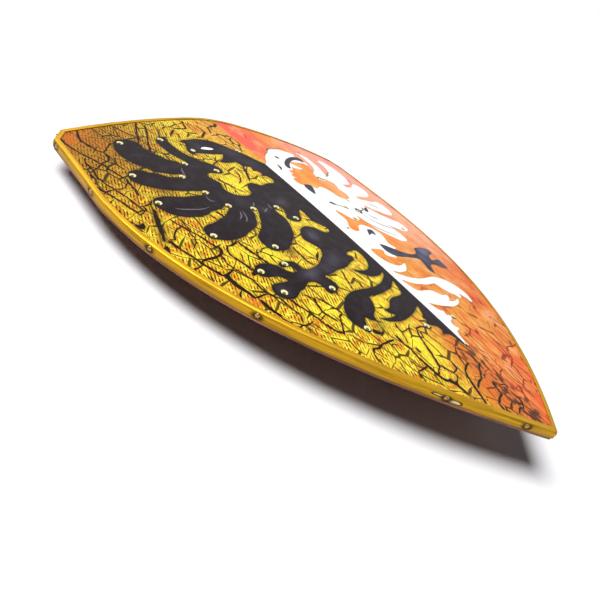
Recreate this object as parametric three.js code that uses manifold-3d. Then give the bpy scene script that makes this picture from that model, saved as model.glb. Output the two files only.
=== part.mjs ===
// A wooden heater shield lying face up: a curved board, a thin brass edging nailed round
// its rim, and on the back an arm strap and a hand grip held by screws.
// Millimetres. +X is across the face, +Y runs from the tip to the top edge, +Z is out of
// the face. The origin is on the ground, under the middle of the shield.
//
// The shield is drawn flat first. A flat point is (u, v, t): u across from the centre
// line, v up from the tip, t out of the painted face. bend() then rolls the flat drawing
// round the long axis and bows it a little along its length, as a moulded board is.

import * as THREE from 'three';
import { mergeVertices } from 'three/addons/utils/BufferGeometryUtils.js';
import Module from 'manifold-3d';

const wasm = await Module();
wasm.setup();

// Outline, drawn flat
const LENGTH = 651;
const HALF_WIDTH = 284.5;
const WIDEST_V = 455;
const TIP_PULL = { u: 111.7, v: 83.3 };
const KNEE_PULL = { u: 281.5, v: 247.7 };
const CORNER_LOW = { u: 277, v: 580 };
const CORNER_HIGH = { u: 260, v: 600.5 };
const PEAK_SHOULDER = { u: 45, v: 646.4 };
const PEAK_PULL_V = 655.6;

// Curvature of the board
const CROSS_RADIUS = 1445;
const LENGTH_RADIUS = 6600;
const BOW_CENTRE_V = 303;

// Board and edging
const BOARD_THICKNESS = 13;
const SHEET = 1.0;
const GAP = 0.3;
const LIP_WIDTH = 7.2;
const EDGING_DEPTH = 9.1;
const MITRE_GAP = 0.3;
const CORNER_JOINT_REACH = 30;

// Facets of the bent sheets
const CELLS_ACROSS = 20;
const CELLS_ALONG = 8;
const SLAB_MARGIN = 15;
const CURVE_POINTS = 9;
const LONGEST_EDGE = 60;
const CUTTER_REACH = 60;
const CUTTER_STEPS = 3;

// Rim nails: heights of the side nails up from the tip, and places along the top edge
const SIDE_NAIL_V = [24, 89, 249, 369, 475, 571];
const TOP_NAIL_U = [-195, -70, 70, 195];
const RIM_NAIL = { headRadius: 2.8, headHeight: 1.7, shankRadius: 0.8, shankLength: 12, t: -3.9 };

// Straps on the back: places and the side profile of each band of leather
const ARM_STRAP = { u: 112, v: 372, flatHalf: 34, riseHalf: 66, endHalf: 100 };
const HAND_GRIP = { u: -112, v: 372, flatHalf: 27, riseHalf: 56, endHalf: 90 };
const STRAP_WIDTH = 40;
const STRAP_THICKNESS = 4;
const STRAP_DEPTH = 48;
const STRAP_STEPS_ACROSS = 2;
const STRAP_CURVE_POINTS = 10;
const STRAP_FOOT = 6;
const STRAP_PULL = { high: 4, low: 6 };
const STRAP_SCREW = { headRadius: 4.6, headHeight: 2.4, shankRadius: 1.6, shankLength: 12 };
const STRAP_SCREW_INSET = 14;
const STRAP_SCREW_SPREAD = 10;
const ROUND_SIDES = 10;
const DOME_STEPS = 3;

const PAINTED_WOOD = { color: 0xe6b23c, roughness: 0.55, metalness: 0 };
const BRASS = { color: 0xb08a2e, roughness: 0.38, metalness: 1 };
const LEATHER = { color: 0x5c3a22, roughness: 0.7, metalness: 0 };
const STEEL = { color: 0x8d8a84, roughness: 0.4, metalness: 1 };

// Where the bent surface lies, and the lift that stands the straps on the ground
function surfaceHeight(u, v, t) {
  const bow = (v - BOW_CENTRE_V) ** 2 / (2 * LENGTH_RADIUS);
  return (CROSS_RADIUS + t) * Math.cos(u / CROSS_RADIUS) - CROSS_RADIUS - bow;
}

const LIFT = STRAP_DEPTH - surfaceHeight(ARM_STRAP.u, ARM_STRAP.v, -BOARD_THICKNESS);

function bend(u, v, t) {
  const x = (CROSS_RADIUS + t) * Math.sin(u / CROSS_RADIUS);
  return new THREE.Vector3(x, v - LENGTH / 2, surfaceHeight(u, v, t) + LIFT);
}

// Applies a mapping of points to every vertex of a flat-drawn geometry
function mapVertices(geometry, mapping) {
  const position = geometry.attributes.position;
  for (let i = 0; i < position.count; i += 1) {
    const moved = mapping(position.getX(i), position.getY(i), position.getZ(i));
    position.setXYZ(i, moved.x, moved.y, moved.z);
  }
  return geometry;
}

// Geometry to solid and back
function toSolid(geometry) {
  geometry.deleteAttribute('normal');
  geometry.deleteAttribute('uv');
  const merged = mergeVertices(geometry);
  const vertProperties = new Float32Array(merged.attributes.position.array);
  const triVerts = new Uint32Array(merged.index.array);
  return new wasm.Manifold(new wasm.Mesh({ numProp: 3, vertProperties, triVerts }));
}

function toGeometry(solid) {
  const mesh = solid.getMesh();
  const geometry = new THREE.BufferGeometry();
  geometry.setAttribute('position', new THREE.BufferAttribute(mesh.vertProperties, 3));
  geometry.setIndex(new THREE.BufferAttribute(mesh.triVerts, 1));
  geometry.computeVertexNormals();
  return geometry;
}

function namedMesh(name, geometry, look) {
  const mesh = new THREE.Mesh(geometry, new THREE.MeshStandardMaterial(look));
  mesh.name = name;
  return mesh;
}

// Outline of the whole shield, anticlockwise from the tip
function outlinePoints() {
  const shape = new THREE.Shape();
  shape.moveTo(0, 0);
  shape.bezierCurveTo(TIP_PULL.u, TIP_PULL.v, KNEE_PULL.u, KNEE_PULL.v, HALF_WIDTH, WIDEST_V);
  shape.lineTo(CORNER_LOW.u, CORNER_LOW.v);
  shape.lineTo(CORNER_HIGH.u, CORNER_HIGH.v);
  shape.lineTo(PEAK_SHOULDER.u, PEAK_SHOULDER.v);
  shape.quadraticCurveTo(0, PEAK_PULL_V, -PEAK_SHOULDER.u, PEAK_SHOULDER.v);
  shape.lineTo(-CORNER_HIGH.u, CORNER_HIGH.v);
  shape.lineTo(-CORNER_LOW.u, CORNER_LOW.v);
  shape.lineTo(-HALF_WIDTH, WIDEST_V);
  shape.bezierCurveTo(-KNEE_PULL.u, KNEE_PULL.v, -TIP_PULL.u, TIP_PULL.v, 0, 0);
  const points = shape.getPoints(CURVE_POINTS);
  points.pop();
  return splitLongEdges(points);
}

// A long straight edge is split, so that it follows the board's curve once bent
function splitLongEdges(points) {
  return points.flatMap((point, i) => {
    const next = points[(i + 1) % points.length];
    const pieces = Math.ceil(point.distanceTo(next) / LONGEST_EDGE);
    return Array.from({ length: pieces }, (_, k) => point.clone().lerp(next, k / pieces));
  });
}

// The same outline moved inwards by a distance, with mitred corners
function inset(points, distance) {
  return points.map((point, i) => {
    const before = points[(i + points.length - 1) % points.length];
    const after = points[(i + 1) % points.length];
    const a = point.clone().sub(before).normalize();
    const b = after.clone().sub(point).normalize();
    const inwardA = new THREE.Vector2(-a.y, a.x);
    const inwardB = new THREE.Vector2(-b.y, b.x);
    const middle = inwardA.clone().add(inwardB).normalize();
    return point.clone().addScaledVector(middle, distance / middle.dot(inwardA));
  });
}

// A flat-drawn polygon as a bent prism that reaches far above and below the board
function bentPrism(points) {
  const geometry = new THREE.ExtrudeGeometry(new THREE.Shape(points), {
    depth: 2 * CUTTER_REACH,
    steps: CUTTER_STEPS,
    bevelEnabled: false,
  });
  geometry.translate(0, 0, -CUTTER_REACH);
  return toSolid(mapVertices(geometry, bend));
}

// A bent sheet between two depths, larger than the shield all round
function bentSlab(low, high) {
  const width = 2 * (HALF_WIDTH + SLAB_MARGIN);
  const length = LENGTH + 2 * SLAB_MARGIN;
  const geometry = new THREE.BoxGeometry(width, length, high - low, CELLS_ACROSS, CELLS_ALONG, 1);
  geometry.translate(0, LENGTH / 2, (low + high) / 2);
  return toSolid(mapVertices(geometry, bend));
}

// A round part turned about its own axis: profile points are (radius, height)
function turned(profile) {
  const geometry = new THREE.LatheGeometry(profile, ROUND_SIDES);
  geometry.rotateX(Math.PI / 2);
  return geometry;
}

// A pin with a pointed end and a domed head, whose seat is at height 0
function domedPin(size) {
  const dome = Array.from({ length: DOME_STEPS }, (_, step) => {
    const angle = (step / DOME_STEPS) * (Math.PI / 2);
    return new THREE.Vector2(size.headRadius * Math.cos(angle), size.headHeight * Math.sin(angle));
  });
  return turned([
    new THREE.Vector2(0, -size.shankLength),
    new THREE.Vector2(size.shankRadius, size.shankRadius - size.shankLength),
    new THREE.Vector2(size.shankRadius, 0),
    ...dome,
    new THREE.Vector2(0, size.headHeight),
  ]);
}

function pinHole(size) {
  const radius = size.shankRadius + GAP;
  const depth = size.shankLength + GAP;
  return turned([
    new THREE.Vector2(0, -depth),
    new THREE.Vector2(radius, -depth),
    new THREE.Vector2(radius, size.headHeight),
    new THREE.Vector2(0, size.headHeight),
  ]);
}

// A place on the bent board whose z axis points along an outward direction
function placeAt(origin, outward) {
  const turn = new THREE.Quaternion().setFromUnitVectors(new THREE.Vector3(0, 0, 1), outward);
  return new THREE.Matrix4().makeRotationFromQuaternion(turn).setPosition(origin);
}

// Edging: one angle of sheet brass all round, then parted at the tip and the top corners
const outline = outlinePoints();
const boardOutline = inset(outline, SHEET + GAP);

function edgingRing() {
  const body = bentPrism(outline).intersect(bentSlab(-EDGING_DEPTH, SHEET + GAP));
  const window = bentPrism(inset(outline, LIP_WIDTH));
  const woodSpace = bentPrism(inset(outline, SHEET)).intersect(bentSlab(-CUTTER_REACH / 2, GAP));
  return body.subtract(window).subtract(woodSpace);
}

// The joint at each top corner runs square across the middle of the cut-off corner
function cornerCut(side, shift) {
  const middle = new THREE.Vector2(
    (side * (CORNER_LOW.u + CORNER_HIGH.u)) / 2,
    (CORNER_LOW.v + CORNER_HIGH.v) / 2,
  );
  const along = new THREE.Vector2(side * (CORNER_HIGH.u - CORNER_LOW.u), CORNER_HIGH.v - CORNER_LOW.v);
  along.normalize();
  const across = new THREE.Vector2(-along.y, along.x);
  const start = middle.clone().addScaledVector(along, shift);
  return {
    near: start.clone().addScaledVector(across, side * CORNER_JOINT_REACH),
    far: start.clone().addScaledVector(across, -side * CORNER_JOINT_REACH),
  };
}

function sideRegion(side, shift) {
  const cut = cornerCut(side, shift);
  const axis = -side * shift;
  const wide = side * (HALF_WIDTH + SLAB_MARGIN);
  const points = [
    new THREE.Vector2(axis, -SLAB_MARGIN),
    new THREE.Vector2(wide, -SLAB_MARGIN),
    new THREE.Vector2(wide, cut.far.y),
    cut.far,
    cut.near,
    new THREE.Vector2(axis, cut.near.y),
  ];
  return bentPrism(side > 0 ? points : points.reverse());
}

// Rim nails stand square to the edge, in the middle of the edging's side
function edgePlace(u, v, normalU, normalV) {
  const t = RIM_NAIL.t;
  const surface = bend(u, v, t);
  const acrossStep = bend(u + 1, v, t).sub(surface).normalize();
  const alongStep = bend(u, v + 1, t).sub(surface).normalize();
  const outward = acrossStep.multiplyScalar(normalU).addScaledVector(alongStep, normalV).normalize();
  return placeAt(surface.addScaledVector(outward, GAP), outward);
}

function outlineCrossing(test) {
  for (let i = 0; i < outline.length; i += 1) {
    const a = outline[i];
    const b = outline[(i + 1) % outline.length];
    const part = test(a, b);
    if (part !== null && part >= 0 && part < 1) {
      const along = b.clone().sub(a).normalize();
      const point = a.clone().lerp(b, part);
      return edgePlace(point.x, point.y, along.y, -along.x);
    }
  }
  throw new Error('no place on the outline');
}

function sideNailPlace(side, height) {
  return outlineCrossing((a, b) => {
    if (side * (a.x + b.x) <= 0 || (a.y - height) * (b.y - height) > 0) return null;
    return (height - a.y) / (b.y - a.y);
  });
}

function topNailPlace(across) {
  return outlineCrossing((a, b) => {
    if (Math.min(a.y, b.y) < CORNER_HIGH.v) return null;
    return (across - a.x) / (b.x - a.x);
  });
}

// Straps: the middle line of the band is drawn in (along, depth), depth below the board
function strapLine(strap) {
  const low = STRAP_DEPTH - STRAP_THICKNESS / 2;
  const high = GAP + STRAP_THICKNESS / 2;
  const middle = (strap.flatHalf + strap.riseHalf) / 2;
  const foot = strap.riseHalf + STRAP_FOOT;
  const highPull = middle + STRAP_PULL.high;
  const lowPull = middle + STRAP_PULL.low;
  const path = new THREE.Path();
  path.moveTo(-strap.endHalf, high);
  path.lineTo(-foot, high);
  path.bezierCurveTo(-highPull, high, -lowPull, low, -strap.flatHalf, low);
  path.lineTo(strap.flatHalf, low);
  path.bezierCurveTo(lowPull, low, highPull, high, foot, high);
  path.lineTo(strap.endHalf, high);
  return path.getPoints(STRAP_CURVE_POINTS);
}

function strapProfile(strap) {
  const line = strapLine(strap);
  const sideOf = (i) => {
    const a = line[Math.max(i - 1, 0)];
    const b = line[Math.min(i + 1, line.length - 1)];
    const along = b.clone().sub(a).normalize();
    return new THREE.Vector2(-along.y, along.x).multiplyScalar(STRAP_THICKNESS / 2);
  };
  const above = line.map((point, i) => point.clone().sub(sideOf(i)));
  const below = line.map((point, i) => point.clone().add(sideOf(i)));
  return [...above, ...below.reverse()];
}

// The ends follow the board's back, and the middle hangs level
function hangPoint(strap, across, along, depth) {
  const u = strap.u + across;
  const v = strap.v + along;
  const level = depth / STRAP_DEPTH;
  const backHere = surfaceHeight(u, v, -BOARD_THICKNESS);
  const backMiddle = surfaceHeight(strap.u, strap.v, -BOARD_THICKNESS);
  const z = backHere + (backMiddle - backHere) * level - depth + LIFT;
  return new THREE.Vector3(bend(u, v, -BOARD_THICKNESS).x, v - LENGTH / 2, z);
}

function strapSolid(strap) {
  const geometry = new THREE.ExtrudeGeometry(new THREE.Shape(strapProfile(strap)), {
    depth: STRAP_WIDTH,
    steps: STRAP_STEPS_ACROSS,
    bevelEnabled: false,
  });
  geometry.translate(0, 0, -STRAP_WIDTH / 2);
  const hang = (along, depth, across) => hangPoint(strap, -across, along, depth);
  return toSolid(mapVertices(geometry, hang));
}

function strapScrewPlaces(strap) {
  const places = [];
  for (const end of [-1, 1]) {
    for (const across of [-STRAP_SCREW_SPREAD, STRAP_SCREW_SPREAD]) {
      const along = end * (strap.endHalf - STRAP_SCREW_INSET);
      const u = strap.u + across;
      const v = strap.v + along;
      const seat = bend(u, v, -BOARD_THICKNESS - STRAP_THICKNESS - 2 * GAP);
      const outward = seat.clone().sub(bend(u, v, 0)).normalize();
      places.push(placeAt(seat, outward));
    }
  }
  return places;
}

// Assembly
const nailPlaces = [];
for (const side of [-1, 1]) {
  for (const height of SIDE_NAIL_V) nailPlaces.push(sideNailPlace(side, height));
}
for (const across of TOP_NAIL_U) nailPlaces.push(topNailPlace(across));

const nailHoles = nailPlaces.map((place) => toSolid(pinHole(RIM_NAIL).applyMatrix4(place)));
const screwPlaces = [...strapScrewPlaces(ARM_STRAP), ...strapScrewPlaces(HAND_GRIP)];
const screwHoles = screwPlaces.map((place) => toSolid(pinHole(STRAP_SCREW).applyMatrix4(place)));

function drill(solid, holes) {
  return holes.reduce((drilled, hole) => drilled.subtract(hole), solid);
}

const shield = new THREE.Group();

const boardBlank = bentPrism(boardOutline).intersect(bentSlab(-BOARD_THICKNESS, 0));
const board = drill(drill(boardBlank, nailHoles), screwHoles);
shield.add(namedMesh('board', toGeometry(board), PAINTED_WOOD));

const ring = drill(edgingRing(), nailHoles);
const edgingLeft = ring.intersect(sideRegion(-1, -MITRE_GAP / 2));
const edgingRight = ring.intersect(sideRegion(1, -MITRE_GAP / 2));
const edgingTop = ring.subtract(sideRegion(-1, MITRE_GAP / 2)).subtract(sideRegion(1, MITRE_GAP / 2));
shield.add(namedMesh('edging_left', toGeometry(edgingLeft), BRASS));
shield.add(namedMesh('edging_right', toGeometry(edgingRight), BRASS));
shield.add(namedMesh('edging_top', toGeometry(edgingTop), BRASS));

nailPlaces.forEach((place, i) => {
  const nail = namedMesh(`rim_nail_${i + 1}`, domedPin(RIM_NAIL), BRASS);
  nail.applyMatrix4(place);
  shield.add(nail);
});

const armStrap = drill(strapSolid(ARM_STRAP), screwHoles);
shield.add(namedMesh('arm_strap', toGeometry(armStrap), LEATHER));
const handGrip = drill(strapSolid(HAND_GRIP), screwHoles);
shield.add(namedMesh('hand_grip', toGeometry(handGrip), LEATHER));

screwPlaces.forEach((place, i) => {
  const screw = namedMesh(`strap_screw_${i + 1}`, domedPin(STRAP_SCREW), STEEL);
  screw.applyMatrix4(place);
  shield.add(screw);
});

export default shield;
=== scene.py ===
# %% [markdown]
# # A painted wooden heater shield
# The shield lies face up on a pale table, resting on the two leather straps of its back.
# Its board is a moulded sheet of plywood, curved across and very slightly along. The face
# carries a printed and varnished picture: a field parted yellow and red, cracked like old
# paint, and a two-headed eagle, black on one half and white on the other. A thin brass
# edging is folded over the rim and nailed.
#
# Everything is drawn flat first, in millimetres: u across, v up from the tip, t out of the
# face. One function then bends a flat point into its place on the curved board.

from functools import partial
import math
import random

import bpy
import bmesh
import numpy as np
from mathutils import Matrix, Vector, kdtree
from mathutils.geometry import delaunay_2d_cdt


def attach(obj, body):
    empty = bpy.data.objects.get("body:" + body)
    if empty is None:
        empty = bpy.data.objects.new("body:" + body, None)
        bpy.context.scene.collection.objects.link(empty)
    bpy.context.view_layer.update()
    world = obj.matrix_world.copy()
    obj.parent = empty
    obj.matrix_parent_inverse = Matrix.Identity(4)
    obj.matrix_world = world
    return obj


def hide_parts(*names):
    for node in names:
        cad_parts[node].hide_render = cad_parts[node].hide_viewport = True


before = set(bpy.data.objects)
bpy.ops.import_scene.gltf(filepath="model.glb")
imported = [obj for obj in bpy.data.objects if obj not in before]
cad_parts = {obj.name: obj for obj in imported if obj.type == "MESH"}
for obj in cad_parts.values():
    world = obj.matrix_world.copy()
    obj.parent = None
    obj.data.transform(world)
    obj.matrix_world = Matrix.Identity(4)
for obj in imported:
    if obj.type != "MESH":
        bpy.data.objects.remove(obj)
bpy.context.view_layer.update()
bpy.context.scene.view_settings.view_transform = "Standard"
print("frame nodes:", len(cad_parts))

# %% [markdown]
# ## The flat drawing and the bend
# The outline runs anticlockwise from the tip: a long curve up each side, a cut-off corner,
# and a straight slope to a rounded peak. The board's face is part of a large cylinder, with
# a shallow bow along its length, so a flat point turns into a place by two short formulas.

# %% Sizes and the bend
MM = 0.001
LENGTH = 651
HALF_WIDTH = 284.5
WIDEST_V = 455
TIP_PULL = (111.7, 83.3)
KNEE_PULL = (281.5, 247.7)
CORNER_LOW = (277, 580)
CORNER_HIGH = (260, 600.5)
PEAK_SHOULDER = (45, 646.4)
PEAK_PULL_V = 655.6
CROSS_RADIUS = 1445
LENGTH_RADIUS = 6600
BOW_CENTRE_V = 303
BOARD_THICKNESS = 13
STRAP_DEPTH = 48
ARM_STRAP_PLACE = (112, 372)


def surface_height(u, v, t):
    bow = (v - BOW_CENTRE_V) ** 2 / (2 * LENGTH_RADIUS)
    return (CROSS_RADIUS + t) * math.cos(u / CROSS_RADIUS) - CROSS_RADIUS - bow


LIFT = STRAP_DEPTH - surface_height(*ARM_STRAP_PLACE, -BOARD_THICKNESS)


def bend(u, v, t):
    """A flat point in millimetres as its place on the curved board, in metres."""
    x = (CROSS_RADIUS + t) * math.sin(u / CROSS_RADIUS)
    return Vector((x, v - LENGTH / 2, surface_height(u, v, t) + LIFT)) * MM


def bezier(a, b, c, d, step):
    count = max(2, round((Vector(d) - Vector(a)).length / step))
    return [
        tuple(
            (1 - k) ** 3 * a[i] + 3 * k * (1 - k) ** 2 * b[i] + 3 * k * k * (1 - k) * c[i] + k**3 * d[i]
            for i in (0, 1)
        )
        for k in (n / count for n in range(count))
    ]


def straight(a, b, step):
    count = max(1, round((Vector(b) - Vector(a)).length / step))
    return [tuple(Vector(a).lerp(Vector(b), n / count)) for n in range(count)]


def outline_points(step):
    """The whole outline, anticlockwise from the tip, with a point in the middle of each cut corner."""
    corner = tuple((Vector(CORNER_LOW) + Vector(CORNER_HIGH)) / 2)
    right = bezier((0, 0), TIP_PULL, KNEE_PULL, (HALF_WIDTH, WIDEST_V), step)
    right += straight((HALF_WIDTH, WIDEST_V), CORNER_LOW, step)
    right += straight(CORNER_LOW, corner, step) + straight(corner, CORNER_HIGH, step)
    right += straight(CORNER_HIGH, PEAK_SHOULDER, step)
    pull = (PEAK_SHOULDER[0] / 3, PEAK_SHOULDER[1] + (PEAK_PULL_V - PEAK_SHOULDER[1]) * 2 / 3)
    mirrored_pull = (-pull[0], pull[1])
    left_shoulder = (-PEAK_SHOULDER[0], PEAK_SHOULDER[1])
    peak = bezier(PEAK_SHOULDER, pull, mirrored_pull, left_shoulder, step)
    left = [(-u, v) for u, v in reversed(right[1:])]
    return right + peak + [left_shoulder] + left


def inward(points):
    """For each point of a closed outline, the mitred step that moves it one millimetre inwards."""
    steps = []
    for i, point in enumerate(points):
        a = (Vector(point) - Vector(points[i - 1])).normalized()
        b = (Vector(points[(i + 1) % len(points)]) - Vector(point)).normalized()
        side = Vector((-a.y, a.x))
        middle = (side + Vector((-b.y, b.x))).normalized()
        steps.append(middle / middle.dot(side))
    return steps


def inset(points, distance):
    return [tuple(Vector(p) + s * distance) for p, s in zip(points, inward(points))]


print("outline points at 3 mm:", len(outline_points(3)))

# %% [markdown]
# ## Camera
# The camera looks down across the shield from above its left side, turned a little about
# its own axis, so the tip points to the lower right of the picture.


# %% Camera
def put_in_scene(name, data):
    """A new object in the scene's own collection."""
    thing = bpy.data.objects.new(name, data)
    bpy.context.scene.collection.objects.link(thing)
    return thing


CAMERA_PLACE = Vector((-0.5934, -0.3265, 0.3353))
CAMERA_VIEW = Vector((0.748, 0.4423, -0.4949)).normalized()
CAMERA_UP = Vector((0.1172, 0.6459, 0.7544))
CAMERA_LENS = 33.63
SENSOR_WIDTH = 36

camera_data = bpy.data.cameras.new("camera")
camera_data.lens = CAMERA_LENS
camera_data.sensor_width = SENSOR_WIDTH
camera = put_in_scene("camera", camera_data)
right = CAMERA_VIEW.cross(CAMERA_UP).normalized()
up = right.cross(CAMERA_VIEW)
turn = Matrix((right, up, -CAMERA_VIEW)).transposed()
camera.matrix_world = Matrix.Translation(CAMERA_PLACE) @ turn.to_4x4()
bpy.context.scene.camera = camera
print("camera height in mm:", round(camera.location.z / MM))

# %% [markdown]
# ## Colours and nodes
# Colours are written as the sRGB values that an eye reads off a screen, and one function
# turns them linear, which is what a shader works in. One more function adds a node with
# its settings and what feeds its inputs. The kinds of node that recur are listed with the
# inputs that their values go to, so that each material reads as a short recipe.


# %% Helpers for materials
PER_MM = (1 / MM, 1 / MM, 1 / MM)
KINDS = {  # type, the inputs that its values go to, and its settings
    "mix": ("ShaderNodeMix", (0, 6, 7), {"data_type": "RGBA"}),
    "times": ("ShaderNodeMath", (0, 1), {"operation": "MULTIPLY"}),
    "share": ("ShaderNodeMath", (0, 1), {"operation": "DIVIDE"}),
    "larger": ("ShaderNodeMath", (0, 1), {"operation": "MAXIMUM"}),
    "range": ("ShaderNodeMapRange", (0, 1, 2, 3, 4), {}),
    "step": ("ShaderNodeMapRange", (0, 1, 2, 3, 4), {"interpolation_type": "SMOOTHSTEP"}),
    "scale": ("ShaderNodeVectorMath", (0, 1), {"operation": "MULTIPLY"}),
    "cells": ("ShaderNodeMapping", (0, 1, 2, 3), {"vector_type": "TEXTURE"}),
    "noise": ("ShaderNodeTexNoise", ("Vector", "Scale", "Detail"), {"noise_dimensions": "2D"}),
    "borders": (
        "ShaderNodeTexVoronoi", ("Vector", "Scale", "Randomness"),
        {"voronoi_dimensions": "2D", "feature": "DISTANCE_TO_EDGE"},
    ),
}


def colour(code):
    """An sRGB hex value such as '#c8a040' as linear red, green, blue and alpha."""
    parts = [int(code[i:i + 2], 16) / 255 for i in (1, 3, 5)]
    linear = [c / 12.92 if c <= 0.04045 else ((c + 0.055) / 1.055) ** 2.4 for c in parts]
    return (*linear, 1.0)


def add_node(tree, kind, *values, **settings):
    """Adds one node. A listed kind takes its values in the list's order, any other as one dict.

    A value is a number, a colour code, an output, or a node, which passes on its Fac or else
    its first output in use.
    """
    kind, order, preset = KINDS.get(kind, (kind, (), {}))
    inputs = dict(zip(order, values)) if order else dict(*values)
    node = tree.nodes.new(kind)
    for name, value in {**preset, **settings}.items():
        setattr(node, name, value)
    for key, value in inputs.items():
        if isinstance(value, bpy.types.Node):
            value = value.outputs.get("Fac") or next(s for s in value.outputs if s.enabled)
        if isinstance(value, bpy.types.NodeSocket):
            tree.links.new(value, node.inputs[key])
        else:
            is_colour = isinstance(value, str) and value.startswith("#")
            node.inputs[key].default_value = colour(value) if is_colour else value
    return node


def new_material(name):
    """An empty material, the function that adds its nodes, and its coordinates in millimetres."""
    material = bpy.data.materials.new(name)
    material.use_nodes = True
    material.node_tree.nodes.clear()
    add = partial(add_node, material.node_tree)
    place = add("scale", add("ShaderNodeTexCoord").outputs["Object"], PER_MM)
    return material, add, place


def finish(add, inputs):
    """Ends a material with one principled surface."""
    surface = add("ShaderNodeBsdfPrincipled", inputs)
    add("ShaderNodeOutputMaterial", {"Surface": surface})


print("linear value of mid grey:", round(colour("#808080")[0], 3))

# %% [markdown]
# ## The painted field
# On the real shield this is a printed film under a satin varnish: a warm yellow half and a
# red half, both drawn as old cracked wood. Nothing on it is raised, so the cracks are only
# colour. The print shows plates of old paint, about 15 by 30 mm, orange in the middle and
# yellow where they meet, with a dark crack between them. A Voronoi pattern gives the
# plates, because its cell borders meet in threes as cracks do, and slow noises bend them.
# Slanting bands, 3.4 mm apart and broken by a noise, are the printed hatching. The soft
# values that the mesh carries, such as rim, haze, warmth and halo, tint single places.

# %% Field material
PLATE_SIZE = (15, 30)
PLATE_TURN = 0.22
RED_PLATE_SIZE = (11, 42)
RED_PLATE_TURN = 0.02
HATCH_SPACING = 3.4
HATCH_TURN = -0.38
HATCH_BREAK = (1.8, 5)
ONE_BAND = math.tau / 20  # the wave texture's scale for one band to a cell
STREAK_SIZE = (2.2, 34)
BORDER_RANDOMNESS = 0.9
SEED_STEP = (37.0, 11.0)
VARNISH_ROUGHNESS = 0.3
VARNISH_MIRROR = 0.05


def pattern(add, kind, place, cell, turn, value, seed):
    """A texture that counts in cells of a width and a length, turned, and moved by a seed."""
    moved = (seed * SEED_STEP[0], seed * SEED_STEP[1], 0)
    cells = add("cells", place, moved, (0, 0, turn), (*cell, 1))
    return add(kind, cells, 1.0, value)


def tinted(add, base, *tints):
    """Lays tints over a base one by one; each is where it shows, how strongly, and a colour."""
    for where, strength, tint in tints:
        base = add("mix", add("times", where, strength), base, tint)
    return base


def varnish(add, base):
    """Ends a material as a print under satin varnish, which mirrors very little."""
    shine = {"Roughness": VARNISH_ROUGHNESS, "Specular IOR Level": VARNISH_MIRROR}
    finish(add, {"Base Color": base, **shine})


def pushed(add, place, size, reach):
    """The same coordinates, moved about by a soft noise, so that straight lines wander."""
    noise = add("noise", place, 1 / size, 2.0)
    centred = {0: noise.outputs["Color"], 1: (0.5, 0.5, 0.5)}
    centred = add("ShaderNodeVectorMath", centred, operation="SUBTRACT")
    moved = {0: centred, 1: (reach, reach, 0), 2: place}
    return add("ShaderNodeVectorMath", moved, operation="MULTIPLY_ADD")


def hatching(add, place):
    """Printed hatching: 1 on a stroke. The bands are broken into strokes about 5 mm long."""
    cells = add("cells", place, (0, 0, 0), (0, 0, HATCH_TURN), (HATCH_SPACING, HATCH_SPACING, 1))
    bands = {"Vector": cells, "Scale": ONE_BAND, "Distortion": 1.3, "Detail": 2.0, "Detail Scale": 0.6}
    bands = add("ShaderNodeTexWave", bands, wave_type="BANDS", bands_direction="X")
    breaks = pattern(add, "noise", place, HATCH_BREAK, HATCH_TURN, 1.0, 2)
    return add("times", add("step", bands, 0.42, 0.7), add("step", breaks, 0.36, 0.52))


def yellow_ground(add, place, across, along, plates):
    """Yellow plates with orange middles, browner to the upper left, redder to the centre line."""
    clouds = pattern(add, "noise", place, (34, 48), 0.25, 2.0, 1)
    mottle = pattern(add, "noise", place, (6, 9), 0.25, 3.0, 7)
    near_axis = add("step", across, -95, -12)
    middle = add("times", add("step", plates, 0.05, 0.24), add("step", mottle, 0.36, 0.6))
    orange = add("larger", add("step", clouds, 0.44, 0.6), add("step", across, -110, -235))
    return tinted(
        add, add("mix", add("step", mottle, 0.4, 0.62), "#ffe948", "#f8ce30"),
        (add("times", middle, orange), 0.9, "#e08a26"),
        (add("times", add("step", across, -60, -235), add("step", along, 20, 250)), 0.85, "#9a5e1a"),
        (add("times", near_axis, add("step", along, -60, -250)), 1.0, "#e2763a"),
        (add("step", along, -200, -310), 0.35, "#cf6a28"),
        (add("times", near_axis, add("step", along, 130, 280)), 0.9, "#efa84e"),
    )


def red_ground(add, place, across, along):
    """Coral at the top by the centre line and orange red to the tip; the paler salmon and pink to the right
    are partly the print's colour and partly painted reflection haze.
    """
    clouds = pattern(add, "noise", place, (26, 40), -0.2, 4.0, 2)
    streaks = pattern(add, "noise", place, STREAK_SIZE, -0.04, 2.0, 6)
    # Where the pink patch lies, partly print and partly painted reflection haze of the varnish.
    high = add("times", add("step", along, 60, 210), add("step", across, 85, 150))
    streaks = add("times", add("step", streaks, 0.48, 0.62), add("step", across, 190, 60))
    streaks = add("times", streaks, add("step", high, 1.0, 0.0, 0.0, 0.8))
    golden = add("times", add("step", across, 170, 60), add("step", along, 0, -70))
    golden = add("times", golden, add("step", along, -260, -180))
    spots = add("times", add("step", clouds, 0.5, 0.64), add("step", along, 0, -150, 0.45, 1.0))
    top_axis = add("times", add("step", along, 185, 240), add("step", across, 120, 20))
    return tinted(
        # Paler salmon to the right, and the pink patch on the next line: partly the print's own colour,
        # partly a painted reflection haze of the varnish on the far side, which is seen at a grazing angle.
        add, add("mix", add("step", across, 60, 230), "#f8a050", "#fbb28c"),
        (high, 1.0, "#fcab96"),
        (add("step", along, 30, -90), 1.0, "#f08a48"),
        (streaks, 1.0, "#ecae50"),
        (golden, 0.6, "#e8a444"),
        (spots, 0.7, "#e4583a"),
        (top_axis, 1.0, "#f46a56"),
        (add("step", clouds, 0.46, 0.34), 0.45, "#ffc08c"),
        (add("step", along, -200, -310), 0.5, "#e2562c"),
    )


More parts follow.
